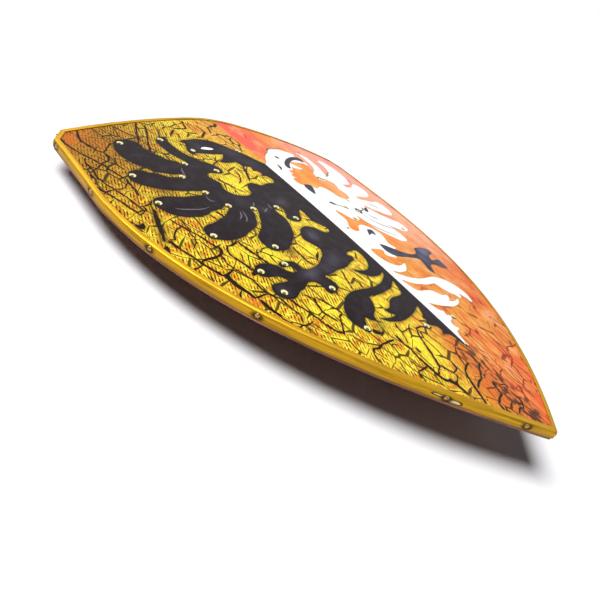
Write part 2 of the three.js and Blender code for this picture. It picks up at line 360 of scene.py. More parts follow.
def crack_network(add, plates, place):
    """1 in a crack between two plates; the gaps vary in width from place to place."""
    wide = pattern(add, "noise", place, (30, 30), 0.0, 1.0, 8)
    width = add("step", wide, 0.36, 0.6, 0.022, 0.095)
    return add("step", add("share", plates, width), 1.0, 0.45)


def painted_field():
    """Both grounds with, in this order, hatching, soft spots, cracks, smudges and dark borders."""
    material, add, place = new_material("printed_field_paint")
    crooked = pushed(add, pushed(add, place, 80, 16.0), 16, 2.0)
    axes = add("ShaderNodeSeparateXYZ", {0: pushed(add, place, 60, 16.0)})
    across, along = axes.outputs[0], axes.outputs[1]
    middle_line = add("ShaderNodeSeparateXYZ", {0: pushed(add, place, 14, 9.0)})
    red_side = add("step", middle_line.outputs[0], -5, 5)
    plates = pattern(add, "borders", crooked, PLATE_SIZE, PLATE_TURN, BORDER_RANDOMNESS, 1)
    long_plates = pattern(
        add, "borders", crooked, RED_PLATE_SIZE, RED_PLATE_TURN, BORDER_RANDOMNESS, 3
    )
    yellow = yellow_ground(add, crooked, across, along, plates)
    base = add("mix", red_side, yellow, red_ground(add, crooked, across, along))

    inside = add("step", plates, 0.05, 0.16, 0.3, 1.0)
    leftward = add("step", across, 0, -190, 0.5, 1.0)
    strength = add("step", red_side, 0, 1, leftward, add("step", along, 60, -60, 0.1, 0.4))
    hatch = add("times", hatching(add, place), add("times", inside, strength))

    yellow_crack = add("times", crack_network(add, plates, crooked), 0.92)
    red_crack = crack_network(add, long_plates, crooked)
    red_crack = add("times", red_crack, add("step", along, 0, -210, 0.1, 0.9))
    crack = add("step", red_side, 0, 1, yellow_crack, red_crack)

    smudges = add("step", pattern(add, "noise", crooked, (6, 13), 0.1, 3.0, 12), 0.47, 0.58)
    band = add("times", add("step", across, -42, -18), add("step", across, 14, -2))
    band = add("times", band, add("step", along, -170, -215))

    soft = ("warmth", "halo", "rim", "haze")
    soft = [add("ShaderNodeAttribute", attribute_name=name) for name in soft]
    warmth, halo, rim, haze = soft
    varnish(add, tinted(
        add, base,
        (hatch, 1.0, add("mix", red_side, "#3e2206", "#b84e26")),
        (add("step", warmth, 0.1, 1.0), 0.7, "#dc6c2a"),
        (add("step", warmth, -0.1, -1.0), 0.6, "#fff03c"),
        (add("step", halo, 0.25, 1.0), 0.5, "#b87420"),
        (crack, 1.0, add("mix", red_side, "#2c1a08", "#84301a")),
        (add("times", band, smudges), 0.88, "#38221a"),
        (rim, add("step", red_side, 0, 1, 0.8, 0.12), "#3a2610"),
        (haze, 0.85, "#4a3218"),
    ))
    return material


field_paint = painted_field()
print("field nodes:", len(field_paint.node_tree.nodes))

# %% [markdown]
# ## The paints of the eagle
# Black and white are printed flat too. The black is warm, with a darker border and a few
# soft grey lights. The white is plain. The greys, the olive lines and the printed nail
# heads, cream crescents round an olive middle, are small shapes of one colour each.


# %% Eagle materials
def flat_print(name, code, code_at_rim, code_light):
    """A flat printed colour that changes a little at the shape's border and in its lights."""
    material, add, place = new_material(name)
    mottle = pattern(add, "noise", place, (14, 14), 0.0, 3.0, 4)
    varnish(add, tinted(
        add, code,
        (add("step", mottle, 0.4, 0.75), 0.12, code_light),
        (add("ShaderNodeAttribute", attribute_name="rim"), 0.7, code_at_rim),
        (add("ShaderNodeAttribute", attribute_name="tone"), 1.0, code_light),
    ))
    return material


# The printing inks: the name, the colour, the colour at the border and in the lights
black_paint = flat_print("printed_black_paint", "#20171a", "#16110f", "#565260")
white_paint = flat_print("printed_white_paint", "#fefdfc", "#f2ece6", "#ffffff")
charcoal_paint = flat_print("printed_charcoal_paint", "#41414f", "#383640", "#868aa4")
grey_paint = flat_print("printed_grey_light", "#6a6570", "#5a5560", "#8a8894")
nail_shade_paint = flat_print("printed_nail_shade", "#2a2010", "#2a2010", "#3a3020")
nail_ring_paint = flat_print("printed_nail_ring", "#e6dfae", "#d8cf98", "#f6f2d4")
nail_heart_paint = flat_print("printed_nail_heart", "#6c6420", "#5c541c", "#8a8234")
olive_paint = flat_print("printed_olive_shade", "#8c7e50", "#6a5c34", "#b0a478")
crack_paint = flat_print("printed_crack_paint", "#20150a", "#1c1208", "#4a3416")
red_crack_paint = flat_print("printed_red_crack_paint", "#943a22", "#7c2c18", "#c86a40")
print("eagle paints made")

# %% [markdown]
# ## Drawing the eagle
# The two heads and wings are mirror images, so one half is drawn, as distances from the
# centre line and heights above the tip, in millimetres. The points sit where the border
# turns, and a smooth curve runs through them.

# %% Half of the eagle
BACK_OF_HEAD = [
    (0, 512), (8, 520), (14, 528), (20, 536), (27, 543), (36, 551), (42, 558), (50, 565), (60, 571),
    (72, 574), (86, 574), (97, 571), (106, 570), (114, 566), (110, 560), (113, 553), (117, 545),
    (119, 537), (117, 532), (112, 530),
]
THROAT = [
    (110, 535), (98, 534), (84, 533), (66, 533), (69, 527), (74, 521), (84, 513), (76, 510), (66, 511),
    (58, 513), (54, 507), (50, 502), (43, 502), (39, 499), (41, 491), (36, 491), (32, 486), (33, 481),
    (37, 478), (29, 478), (25, 473), (24, 467), (29, 460),
]
SHOULDER = [
    (38, 459), (47, 457), (58, 453), (64, 456), (71, 459), (79, 457), (85, 450), (88, 443), (90, 436),
    (95, 432), (103, 430), (111, 431), (118, 434), (124, 440), (126, 448), (124, 455), (122, 461),
    (126, 468), (129, 476), (127, 482), (120, 485), (112, 483), (104, 483), (99, 487), (98, 494),
    (101, 502), (108, 509), (116, 515), (122, 522), (127, 529), (131, 538), (133, 548), (134, 558),
    (133, 568), (131, 577),
]
NARROW_FEATHER = [
    (139, 576), (147, 571), (152, 564), (152, 554), (151, 544), (150, 535), (147, 527), (143, 519),
    (140, 512), (144, 506), (149, 507),
]
FIRST_FEATHER = [
    (152, 512), (158, 516), (164, 520), (168, 527), (172, 533), (176, 541), (179, 548), (179, 556),
    (181, 564), (187, 569), (196, 571), (204, 570), (210, 565), (214, 558), (217, 549), (218, 539),
    (217, 529), (214, 520), (210, 512), (206, 507), (199, 499), (197, 494), (190, 491), (182, 488),
    (175, 485), (163, 484), (160, 481), (164, 476), (174, 478), (180, 479), (186, 481), (191, 486),
    (199, 491), (204, 493),
]
SECOND_FEATHER = [
    (210, 498), (217, 500), (225, 498), (231, 492), (233, 484), (231, 476), (225, 469), (218, 463),
    (210, 458), (200, 454), (190, 451), (180, 449), (170, 448), (160, 446), (153, 446), (152, 441),
    (158, 438), (168, 438), (180, 438), (190, 438), (200, 440), (208, 442),
]
THIRD_FEATHER = [
    (219, 443), (227, 441), (232, 434), (232, 426), (228, 418), (224, 411), (218, 406), (210, 402),
    (200, 400), (190, 400), (182, 401), (175, 405), (166, 407), (157, 409), (151, 413), (145, 418),
    (140, 416), (140, 411), (146, 408), (151, 404), (158, 398), (164, 394), (172, 391), (178, 388),
    (186, 385), (193, 384),
]
FOURTH_FEATHER = [
    (200, 381), (204, 376), (206, 369), (205, 362), (199, 358), (192, 355), (185, 353), (177, 353),
    (169, 354), (162, 356), (155, 360), (148, 363), (140, 367), (134, 370), (129, 376), (124, 384),
    (120, 391), (118, 398), (117, 404), (111, 407), (108, 402), (111, 395), (115, 388), (120, 380),
    (125, 372), (130, 366), (136, 361), (142, 356),
]
FIFTH_FEATHER = [
    (147, 351), (149, 344), (149, 337), (147, 329), (142, 324), (134, 323), (126, 323), (119, 326),
    (112, 331), (104, 337), (98, 342), (92, 349), (88, 356), (84, 364), (81, 372), (80, 380),
    (81, 388), (82, 394), (80, 400), (77, 406), (72, 407), (67, 404), (67, 397), (69, 391),
    (72, 385), (76, 380),
]
THIGH = [
    (74, 375), (68, 371), (60, 371), (54, 375), (50, 381), (46, 387), (42, 392), (38, 395), (36, 389),
    (37, 380), (37, 372), (34, 366), (29, 360), (25, 355), (25, 349), (30, 345), (36, 345), (41, 348),
    (46, 354), (52, 358), (60, 360), (68, 358), (75, 354), (80, 348), (84, 342), (85, 336), (82, 329),
    (78, 322), (76, 316), (79, 310),
]
LEG = [
    (82, 305), (90, 300), (98, 294), (107, 290), (116, 288), (124, 287), (130, 290), (131, 296),
    (133, 302), (140, 305), (150, 306), (156, 302), (153, 297), (146, 299), (142, 294), (141, 288),
    (146, 287), (152, 291), (156, 297), (160, 303), (166, 307), (173, 309), (181, 309), (187, 306),
    (191, 300), (190, 294), (185, 290), (178, 288), (171, 287), (166, 283), (163, 278), (170, 277),
    (178, 278), (186, 277), (190, 272), (191, 265), (188, 258), (182, 254), (174, 253), (167, 256),
    (160, 260), (152, 262), (146, 266), (140, 269), (134, 268), (129, 264), (127, 258), (128, 251),
    (125, 246), (118, 247), (110, 250), (106, 255), (107, 264), (110, 272), (96, 274), (84, 277),
    (72, 278), (62, 280), (54, 284),
]
FIRST_TAIL = [
    (46, 287), (38, 290), (37, 295), (41, 300), (36, 304), (27, 305), (18, 306), (15, 300), (15, 292),
    (18, 284), (24, 276), (31, 271), (40, 269), (48, 270), (58, 273), (54, 267), (48, 262), (41, 258),
    (33, 257), (24, 257), (12, 261),
]
LONG_TAIL = [
    (16, 255), (23, 251), (32, 246), (42, 243), (54, 241), (66, 241), (80, 242), (92, 242), (102, 240),
    (110, 237), (118, 232), (125, 226), (131, 218), (134, 210), (134, 202), (130, 194), (125, 187),
    (121, 192), (117, 199), (112, 205), (108, 199), (101, 197), (98, 203), (91, 208), (87, 211),
    (82, 218), (79, 225), (76, 229), (66, 229), (54, 229), (42, 231), (31, 233), (22, 237), (10, 244),
    (11, 238), (14, 230), (18, 223), (26, 220), (36, 220), (45, 219),
]
SHORT_TAIL = [
    (52, 216), (58, 211), (64, 207), (74, 206), (71, 200), (65, 196), (74, 194), (84, 195), (92, 197),
    (86, 191), (78, 188), (68, 186), (57, 186), (47, 188), (38, 190), (29, 193), (14, 199), (17, 192),
    (20, 186), (26, 182), (24, 176), (31, 173), (24, 168), (18, 165), (16, 158), (20, 153), (10, 150),
    (6, 142), (4, 134), (0, 126),
]
CURVE_STEPS = 4
ROUND_STEPS = 3

UPPER_EAGLE = (
    BACK_OF_HEAD + THROAT + SHOULDER + NARROW_FEATHER + FIRST_FEATHER + SECOND_FEATHER
    + THIRD_FEATHER + FOURTH_FEATHER + FIFTH_FEATHER + THIGH
)
HALF_EAGLE = UPPER_EAGLE + LEG + FIRST_TAIL + LONG_TAIL + SHORT_TAIL


def smooth_curve(points, steps):
    """A curve through the points, with the same number of steps between each pair."""
    curve = []
    for i in range(len(points) - 1):
        before, a = points[max(i - 1, 0)], points[i]
        b, after = points[i + 1], points[min(i + 2, len(points) - 1)]
        for k in range(steps):
            s = k / steps
            curve.append(tuple(
                0.5 * (2 * a[j] + (b[j] - before[j]) * s
                       + (2 * before[j] - 5 * a[j] + 4 * b[j] - after[j]) * s * s
                       + (3 * a[j] - before[j] - 3 * b[j] + after[j]) * s**3)
                for j in (0, 1)
            ))
    return curve + [points[-1]]


def rounded(corners):
    """A closed smooth curve through the corners."""
    return smooth_curve(corners + corners[:1], ROUND_STEPS)[:-1]


half_border = smooth_curve(HALF_EAGLE, CURVE_STEPS)
WHITE_LEG = [
    (50, 316), (60, 312), (85, 297), (106, 291), (125, 295), (136, 306), (161, 309), (181, 306),
    (181, 296), (159, 289), (150, 278), (176, 281), (177, 273), (173, 259), (157, 261), (144, 267),
    (128, 267), (120, 261), (109, 248), (104, 258), (109, 268), (111, 280), (90, 284), (62, 287),
    (50, 294), (47, 303),
]
leg_start = len(UPPER_EAGLE) * CURVE_STEPS
leg_end = (len(UPPER_EAGLE) + len(LEG) - 1) * CURVE_STEPS
leg_border = half_border[leg_start:leg_end + 1] + [(60, 296), (70, 303)]
print("points on half a border:", len(half_border))

# %% [markdown]
# ## Small marks of the print
# Printed nail heads sit at the feather tips and roots and on the claws. A few strokes and
# shades finish the two halves: grey lights on the black, dark and olive lines on the white.
# The lists of round spots each give a place, a reach and a strength. They soften the flat
# colours: lights on the eagle, and embers, gleams and dark hazes on the yellow field.

# %% Marks
NAIL_MARKS = [
    (203, 563), (142, 570), (226, 490), (226, 433), (199, 365), (137, 331), (144, 508), (107, 490),
    (167, 479), (157, 443), (144, 413), (113, 403), (74, 403), (61, 378), (184, 299), (147, 302),
    (180, 264), (117, 253), (123, 191), (27, 547), (34, 170),
]
WHITE_NAIL_MARKS = [
    (145, 512), (107, 490), (76, 405), (124, 407), (99, 397), (64, 376), (34, 171), (185, 361),
    (2, 131), (119, 189),
]
BLACK_STROKES = [
    [(154, 499), (158, 493), (160, 486), (161, 480)],
    [(161, 437), (162, 430), (160, 425), (155, 424)],
    [(214, 421), (208, 417), (196, 414), (182, 412), (169, 415)],
    [(148, 385), (141, 391), (136, 401)],
    [(143, 379), (136, 387), (132, 402)],
    [(110, 408), (106, 411), (103, 416)],
    [(102, 395), (96, 398), (91, 402)],
    [(85, 400), (84, 406), (83, 411)],
]
WHITE_STROKES = [
    [(51, 417), (55, 411), (69, 405), (82, 398)],
    [(98, 396), (103, 379), (118, 365), (142, 357), (176, 355)],
    [(78, 383), (83, 367), (97, 353), (114, 342), (135, 334)],
    [(116, 392), (123, 383), (136, 381)],
    [(162, 427), (178, 423), (193, 414)],
    [(124, 405), (112, 400), (99, 397), (88, 396)],
    [(25, 544), (40, 554), (51, 566), (66, 571), (83, 575), (95, 581)],
]
LIGHT_WIDTH = 2.0
LINE_WIDTH = 2.3
OLIVE_WIDTH = 3.4
STROKE_TIP = 0.15
OLIVE_STROKES = [
    [(130, 498), (140, 505), (151, 514), (164, 522)],
    [(94, 486), (100, 491), (107, 493)],
    [(104, 485), (112, 487), (121, 485)],
    [(120, 402), (129, 406), (138, 412)],
]
WHITE_SHADES = [
    [(34, 461), (49, 461), (47, 451), (35, 435), (31, 443), (30, 452)],
    [(61, 349), (70, 349), (72, 344), (67, 335), (61, 339), (50, 335)],
    [(53, 526), (69, 539), (91, 551), (109, 556), (120, 552), (115, 540), (106, 543), (93, 542),
     (75, 533), (59, 519), (51, 508), (45, 509), (46, 517)],
    [(28, 518), (25, 510), (21, 498), (30, 508)],
    [(102, 431), (109, 424), (104, 424)],
    [(44, 415), (52, 417), (58, 409), (51, 409)],
    [(94, 402), (101, 405), (108, 398), (101, 390), (95, 394)],
    [(121, 400), (128, 407), (138, 412), (135, 404), (126, 397)],
]
WHITE_FILLS = [
    [(66, 408), (80, 408), (84, 392), (80, 382), (70, 384), (65, 396)],
    [(107, 409), (120, 408), (128, 386), (140, 366), (150, 356), (140, 352), (122, 366), (108, 386)],
]
DARK_DOTS = [(50, 541, 4.2), (19, 352, 2.2)]
EYE = [(93, 547), (88, 551), (81, 552), (74, 550), (71, 547), (77, 545), (86, 545)]
BEAK_SPOT = (109, 542, 3.4)
BLACK_LIGHTS = [
    (66, 339, 6, 0.7), (128, 279, 8, 0.75), (117, 284, 7, 0.5), (98, 285, 8, 0.4), (80, 290, 8, 0.45),
    (68, 298, 7, 0.5), (58, 412, 7, 0.6), (50, 417, 5, 0.4), (98, 399, 7, 0.3), (120, 420, 9, 0.25),
    (92, 553, 9, 0.3), (45, 540, 14, 0.3), (30, 508, 14, 0.25), (178, 266, 8, 0.3), (62, 345, 9, 0.35),
]
WHITE_SIDE_LIGHTS = [(152, 299, 11, 0.6), (128, 283, 8, 0.35), (168, 304, 8, 0.5), (165, 270, 8, 0.3)]
EMBERS = [
    (222, 262, 15, 0.8), (234, 292, 12, 0.5), (206, 345, 9, 0.5), (262, 574, 17, 0.75), (244, 590, 15, 0.5),
    (228, 562, 14, 0.5), (155, 250, 9, 0.5), (40, 184, 12, 0.6), (28, 122, 24, 0.8), (42, 74, 24, 0.7),
    (18, 142, 16, 0.6), (275, 540, 12, 0.5), (186, 588, 12, 0.5), (205, 388, 12, 0.5), (232, 322, 9, 0.4),
    (192, 250, 13, 0.4), (185, 205, 10, 0.5), (112, 245, 8, 0.7), (128, 318, 9, 0.5), (50, 612, 16, 0.4),
    (100, 100, 10, 0.3), (60, 600, 20, 0.4), (30, 60, 20, 0.7), (75, 618, 14, 0.5), (225, 600, 12, 0.5),
]
GLEAMS = [
    (188, 330, 14, 1.0), (150, 318, 20, 1.0), (98, 455, 24, 1.0), (78, 162, 16, 0.9), (58, 138, 20, 1.0),
    (168, 236, 14, 0.8), (147, 224, 14, 1.0), (70, 214, 12, 1.0), (95, 318, 14, 0.9), (112, 214, 12, 0.6),
    (95, 262, 14, 0.8), (240, 376, 10, 0.7), (210, 290, 10, 0.8), (125, 550, 12, 0.6), (160, 535, 9, 0.7),
    (140, 200, 10, 0.9), (125, 140, 16, 0.5), (165, 190, 12, 0.6), (200, 240, 8, 0.4), (110, 515, 12, 0.6),
    (250, 345, 10, 0.5), (85, 130, 9, 0.6), (170, 403, 9, 0.8), (185, 448, 10, 0.5),
]
HAZES = [
    (240, 417, 6, 0.8), (244, 405, 6, 0.9), (248, 394, 6, 0.9), (251, 383, 6, 0.9), (256, 372, 6, 0.9),
    (126, 318, 9, 0.8), (210, 453, 8, 0.8), (200, 448, 6, 0.4), (176, 571, 6, 0.6), (100, 190, 9, 0.7),
    (108, 334, 6, 0.5), (122, 325, 6, 0.6), (268, 400, 6, 0.7),
    (108, 184, 5, 0.9), (142, 570, 9, 0.3),
]


def disc(u, v, radius, corners=12):
    angles = [2 * math.pi * k / corners for k in range(corners)]
    return [(u + radius * math.cos(a), v + radius * math.sin(a)) for a in angles]


def left_of(line, i):
    """The direction square to a line, to its left, at one of its points."""
    along = (line[min(i + 1, len(line) - 1)] - line[max(i - 1, 0)]).normalized()
    return Vector((-along.y, along.x))


def stroke(points, width):
    """A line that is widest in its middle and pointed at both ends."""
    line = [Vector(p) for p in smooth_curve(points, CURVE_STEPS)]
    upper, lower = [], []
    for i, point in enumerate(line):
        half = width / 2 * math.sin(math.pi * (i + STROKE_TIP) / (len(line) - 1 + 2 * STROKE_TIP))
        side = left_of(line, i) * half
        upper.append(tuple(point + side))
        lower.append(tuple(point - side))
    return upper + lower[::-1]


def on_side(points, side):
    return [(side * u, v) for u, v in points]


def anticlockwise(points):
    area = sum(a[0] * b[1] - b[0] * a[1] for a, b in zip(points, points[1:] + points[:1]))
    return points if area > 0 else points[::-1]


print("marks:", len(NAIL_MARKS) + len(BLACK_STROKES) + len(WHITE_STROKES) + len(WHITE_SHADES))

# %% [markdown]
# ## The large cracks
# The large cracks run in long lines down the board, joined by short ones across. They are
# drawn one by one, each as a width and the points that it passes through, so that the
# field falls into the same long blocks. The small cracks between them come from the paint.

# %% Cracks
YELLOW_CRACKS = [
    (2.2, [(-268, 592), (-268, 576), (-267, 561), (-261, 545), (-254, 529), (-249, 517)]),
    (2.2, [(-249, 518), (-246, 506), (-242, 495), (-237, 482)]),
    (2.4, [(-240, 601), (-244, 588), (-248, 572), (-245, 562), (-239, 547), (-233, 542)]),
    (1.6, [(-234, 542), (-228, 549), (-222, 556), (-215, 563)]),
    (2.0, [(-234, 542), (-234, 531), (-238, 523), (-246, 521), (-250, 517), (-257, 511), (-269, 504)]),
    (1.6, [(-260, 535), (-265, 525), (-264, 508), (-267, 494), (-264, 479), (-260, 467)]),
    (2.0, [(-276, 478), (-273, 467), (-268, 455), (-263, 440), (-260, 428), (-256, 415)]),
    (1.8, [(-274, 462), (-266, 466), (-260, 467), (-257, 458), (-253, 445), (-251, 434), (-250, 424)]),
    (1.4, [(-260, 467), (-252, 466), (-246, 469), (-239, 478)]),
    (2.2, [(-237, 484), (-239, 474), (-238, 462), (-241, 450)]),
    (3.4, [(-238, 423), (-242, 412), (-247, 397), (-251, 384), (-256, 370)]),
    (1.2, [(-233, 541), (-232, 528), (-232, 514), (-229, 503)]),
    (1.4, [(-236, 521), (-232, 511), (-229, 503)]),
    (1.3, [(-222, 601), (-220, 588), (-215, 577), (-211, 569)]),
    (1.3, [(-210, 603), (-209, 592), (-203, 583), (-199, 576)]),
    (2.2, [(-190, 605), (-186, 595), (-180, 585), (-174, 576)]),
    (2.2, [(-152, 616), (-158, 604), (-163, 595), (-168, 585), (-172, 573), (-179, 560)]),
    (2.0, [(-142, 610), (-148, 595), (-154, 583), (-160, 571), (-166, 561), (-170, 549), (-177, 537)]),
    (1.6, [(-130, 602), (-132, 590), (-137, 581), (-140, 576)]),
    (1.4, [(-165, 546), (-160, 535), (-153, 530)]),
    (2.4, [(-69, 630), (-74, 618), (-78, 607), (-86, 604), (-96, 603), (-103, 606)]),
    (2.6, [(-103, 600), (-109, 593), (-115, 586), (-120, 580)]),
    (1.6, [(-101, 609), (-108, 608), (-116, 605), (-121, 600)]),
    (1.6, [(-104, 590), (-106, 581), (-109, 573)]),
    (2.4, [(-53, 621), (-50, 609), (-50, 599), (-57, 591), (-65, 583), (-76, 580)]),
    (1.2, [(-87, 625), (-89, 617), (-88, 608)]),
    (2.0, [(-3, 637), (-10, 628), (-22, 622), (-32, 617), (-35, 607), (-38, 598)]),
    (2.2, [(-8, 589), (-14, 583), (-16, 574), (-20, 566)]),
    (1.4, [(-61, 579), (-63, 571), (-68, 566)]),
    (1.8, [(-84, 517), (-93, 511), (-101, 505), (-107, 499)]),
    (1.4, [(-89, 525), (-90, 517), (-84, 512)]),
    (1.5, [(-76, 491), (-77, 481), (-81, 471), (-87, 463), (-93, 459)]),
    (2.4, [(-50, 508), (-55, 497), (-60, 485), (-65, 475), (-70, 464)]),
    (2.0, [(-119, 472), (-116, 464), (-111, 457), (-107, 447)]),
    (1.3, [(-107, 447), (-103, 442), (-98, 438)]),
    (1.2, [(-110, 444), (-115, 438)]),
    (1.6, [(-273, 431), (-276, 422), (-274, 411), (-269, 403)]),
    (1.6, [(-251, 431), (-243, 431), (-236, 433), (-231, 439)]),
    (1.6, [(-258, 417), (-252, 420), (-246, 423), (-246, 431)]),
    (2.4, [(-251, 371), (-249, 359), (-245, 347), (-240, 335), (-236, 323), (-231, 311), (-227, 304)]),
    (1.7, [(-250, 371), (-244, 370), (-239, 379), (-233, 385), (-226, 387), (-221, 381)]),
    (2.2, [(-231, 402), (-226, 391), (-220, 378), (-215, 367), (-211, 355), (-208, 344)]),
    (1.3, [(-217, 400), (-220, 389), (-219, 379)]),
    (1.2, [(-222, 380), (-222, 368), (-225, 359), (-234, 351)]),
    (2.4, [(-237, 331), (-230, 333), (-222, 332), (-213, 333), (-207, 339), (-205, 347)]),
    (1.7, [(-237, 327), (-243, 324), (-253, 323)]),
    (1.6, [(-211, 333), (-213, 322), (-210, 311), (-206, 302), (-202, 290), (-201, 277), (-199, 267)]),
    (2.0, [(-228, 306), (-221, 306), (-214, 309), (-209, 308)]),
    (2.0, [(-194, 347), (-200, 337), (-200, 327), (-195, 316), (-193, 306), (-191, 299)]),
    (1.2, [(-195, 317), (-190, 323), (-188, 331)]),
    (2.2, [(-196, 345), (-189, 345), (-183, 347), (-179, 351)]),
    (2.6, [(-179, 351), (-176, 339), (-172, 325), (-169, 314), (-166, 307)]),
    (1.2, [(-171, 327), (-163, 327), (-157, 331), (-146, 332)]),
    (1.2, [(-240, 311), (-242, 302), (-246, 296)]),
    (1.6, [(-223, 281), (-228, 276), (-232, 269)]),
    (2.0, [(-209, 246), (-207, 234), (-203, 223), (-200, 218)]),
    (1.4, [(-202, 217), (-194, 219), (-187, 217), (-177, 220)]),
    (1.8, [(-216, 267), (-208, 268), (-200, 268), (-195, 263), (-190, 257), (-189, 246)]),
    (1.4, [(-189, 247), (-187, 236), (-186, 229), (-190, 222)]),
    (2.2, [(-182, 256), (-178, 242), (-172, 228), (-168, 212), (-163, 200), (-157, 195)]),
    (2.0, [(-152, 247), (-156, 238), (-158, 227), (-154, 218), (-150, 210)]),
    (1.8, [(-149, 247), (-144, 237), (-139, 227), (-135, 219)]),
    (1.8, [(-136, 218), (-143, 215), (-148, 208), (-153, 199), (-158, 193)]),
    (1.3, [(-157, 223), (-163, 220), (-170, 218)]),
    (1.5, [(-189, 216), (-189, 204), (-187, 192)]),
    (1.1, [(-180, 217), (-177, 208), (-173, 199)]),
    (1.1, [(-151, 190), (-147, 182), (-142, 175)]),
    (1.4, [(-128, 190), (-124, 180), (-122, 170)]),
    (2.3, [(-144, 162), (-140, 167), (-131, 165), (-123, 168), (-113, 168), (-103, 168)]),
    (1.6, [(-144, 163), (-146, 155), (-146, 147)]),
    (1.4, [(-115, 162), (-110, 163), (-105, 160)]),
    (2.8, [(-95, 172), (-96, 162), (-93, 151), (-94, 139), (-93, 129), (-92, 118), (-90, 107), (-83, 101)]),
    (2.2, [(-94, 126), (-103, 125), (-111, 125), (-116, 117)]),
    (1.4, [(-109, 141), (-107, 132), (-103, 125)]),
    (1.2, [(-136, 142), (-134, 133), (-131, 128)]),
    (1.0, [(-124, 143), (-126, 134), (-128, 127)]),
    (1.2, [(-120, 112), (-116, 106), (-112, 99)]),
    (1.4, [(-79, 186), (-82, 175), (-85, 165), (-89, 158)]),
    (1.2, [(-83, 173), (-74, 173), (-66, 174), (-62, 170)]),
    (2.4, [(-46, 172), (-55, 171), (-61, 163), (-65, 153), (-70, 139), (-75, 126), (-79, 119)]),
    (2.0, [(-48, 172), (-41, 170), (-36, 166), (-28, 166)]),
    (1.8, [(-77, 121), (-84, 117), (-91, 112)]),
    (2.0, [(-76, 122), (-71, 112), (-66, 107), (-56, 110), (-54, 119)]),
    (2.4, [(-28, 110), (-38, 108), (-47, 103), (-52, 96), (-56, 86), (-60, 75), (-65, 63)]),
    (1.4, [(-76, 96), (-69, 100), (-64, 105)]),
    (2.0, [(-53, 81), (-45, 86), (-34, 88), (-25, 95), (-17, 101), (-8, 104)]),
    (2.2, [(-48, 48), (-45, 57), (-36, 61), (-27, 64), (-25, 73), (-20, 80)]),
    (1.6, [(-43, 48), (-41, 40), (-37, 35)]),
    (1.5, [(-20, 80), (-13, 73), (-6, 70)]),
    (1.6, [(-30, 38), (-22, 42), (-14, 40), (-6, 46)]),
    (1.4, [(-24, 131), (-17, 127), (-12, 118), (-14, 109)]),
    (2.0, [(-114, 326), (-114, 313), (-114, 300), (-110, 291)]),
    (1.4, [(-108, 306), (-101, 303), (-97, 296)]),
    (2.0, [(-89, 308), (-94, 303), (-98, 297)]),
    (1.4, [(-78, 276), (-83, 264), (-87, 254), (-90, 243)]),
    (1.5, [(-63, 275), (-61, 263), (-59, 253)]),
    (1.8, [(-73, 258), (-70, 251), (-73, 243)]),
    (1.4, [(-139, 264), (-135, 259), (-133, 264)]),
    (1.3, [(-161, 254), (-156, 250), (-152, 243)]),
    (2.4, [(-169, 405), (-166, 398), (-164, 392)]),
    (1.6, [(-181, 402), (-178, 396), (-176, 390)]),
]
RED_CRACKS = [
    (2.2, [(112, 107), (97, 106), (84, 109), (73, 104), (64, 92), (53, 87), (43, 84)]),
    (1.8, [(50, 86), (47, 77), (42, 65), (33, 61), (22, 57)]),
    (1.8, [(42, 65), (48, 57), (55, 60)]),
    (1.6, [(21, 86), (21, 72), (26, 60), (23, 52), (27, 40)]),
    (1.6, [(3, 80), (10, 85), (21, 86), (20, 98), (23, 113)]),
    (1.4, [(34, 109), (40, 98), (47, 90)]),
    (1.4, [(58, 84), (61, 72), (66, 66)]),
    (1.6, [(41, 158), (43, 149), (33, 142), (14, 141)]),
    (1.4, [(66, 152), (70, 138), (67, 122), (72, 106)]),
    (1.2, [(92, 158), (97, 142), (95, 127), (98, 108)]),
    (1.2, [(112, 112), (118, 128), (116, 145)]),
    (1.2, [(10, 124), (17, 117), (22, 112)]),
    (1.2, [(5, 98), (12, 92), (10, 85)]),
    (1.3, [(5, 58), (13, 62), (20, 57)]),
    (1.2, [(94, 581), (84, 592), (78, 604)]),
    (1.0, [(32, 632), (37, 612), (30, 594), (38, 578)]),
    (1.0, [(62, 622), (58, 606), (66, 590)]),
    (1.0, [(150, 588), (140, 574), (128, 566)]),
]
DARK_BLOTS = [
    [(-272, 404), (-266, 402), (-261, 404), (-262, 397), (-266, 394), (-269, 396)],
    [(-229, 307), (-222, 306), (-222, 299), (-221, 292), (-219, 285), (-217, 278), (-215, 268),
     (-218, 267), (-220, 275), (-223, 281), (-226, 288), (-227, 296)],
    [(-214, 263), (-211, 262), (-209, 252), (-208, 244), (-211, 243), (-213, 252)],
    [(-121, 184), (-117, 188), (-110, 181), (-107, 180), (-112, 178), (-119, 181)],
    [(-84, 104), (-79, 104), (-78, 99), (-74, 99), (-76, 93), (-76, 86), (-77, 74), (-79, 84),
     (-81, 95), (-85, 100)],
    [(-86, 150), (-84, 149), (-83, 144), (-85, 142), (-87, 145)],
    [(-197, 299), (-190, 303), (-186, 300), (-187, 294), (-191, 296), (-197, 295)],
    [(-273, 500), (-270, 499), (-270, 492), (-273, 493)],
    [(-263, 361), (-257, 363), (-260, 352)],
]
CRACK_STEP = 3.6
CRACK_WANDER = 0.55
CRACK_UNEVEN = (0.7, 1.35)
CRACK_END = 0.45
INK_SPREAD = 1.25
crack_chance = random.Random(11)


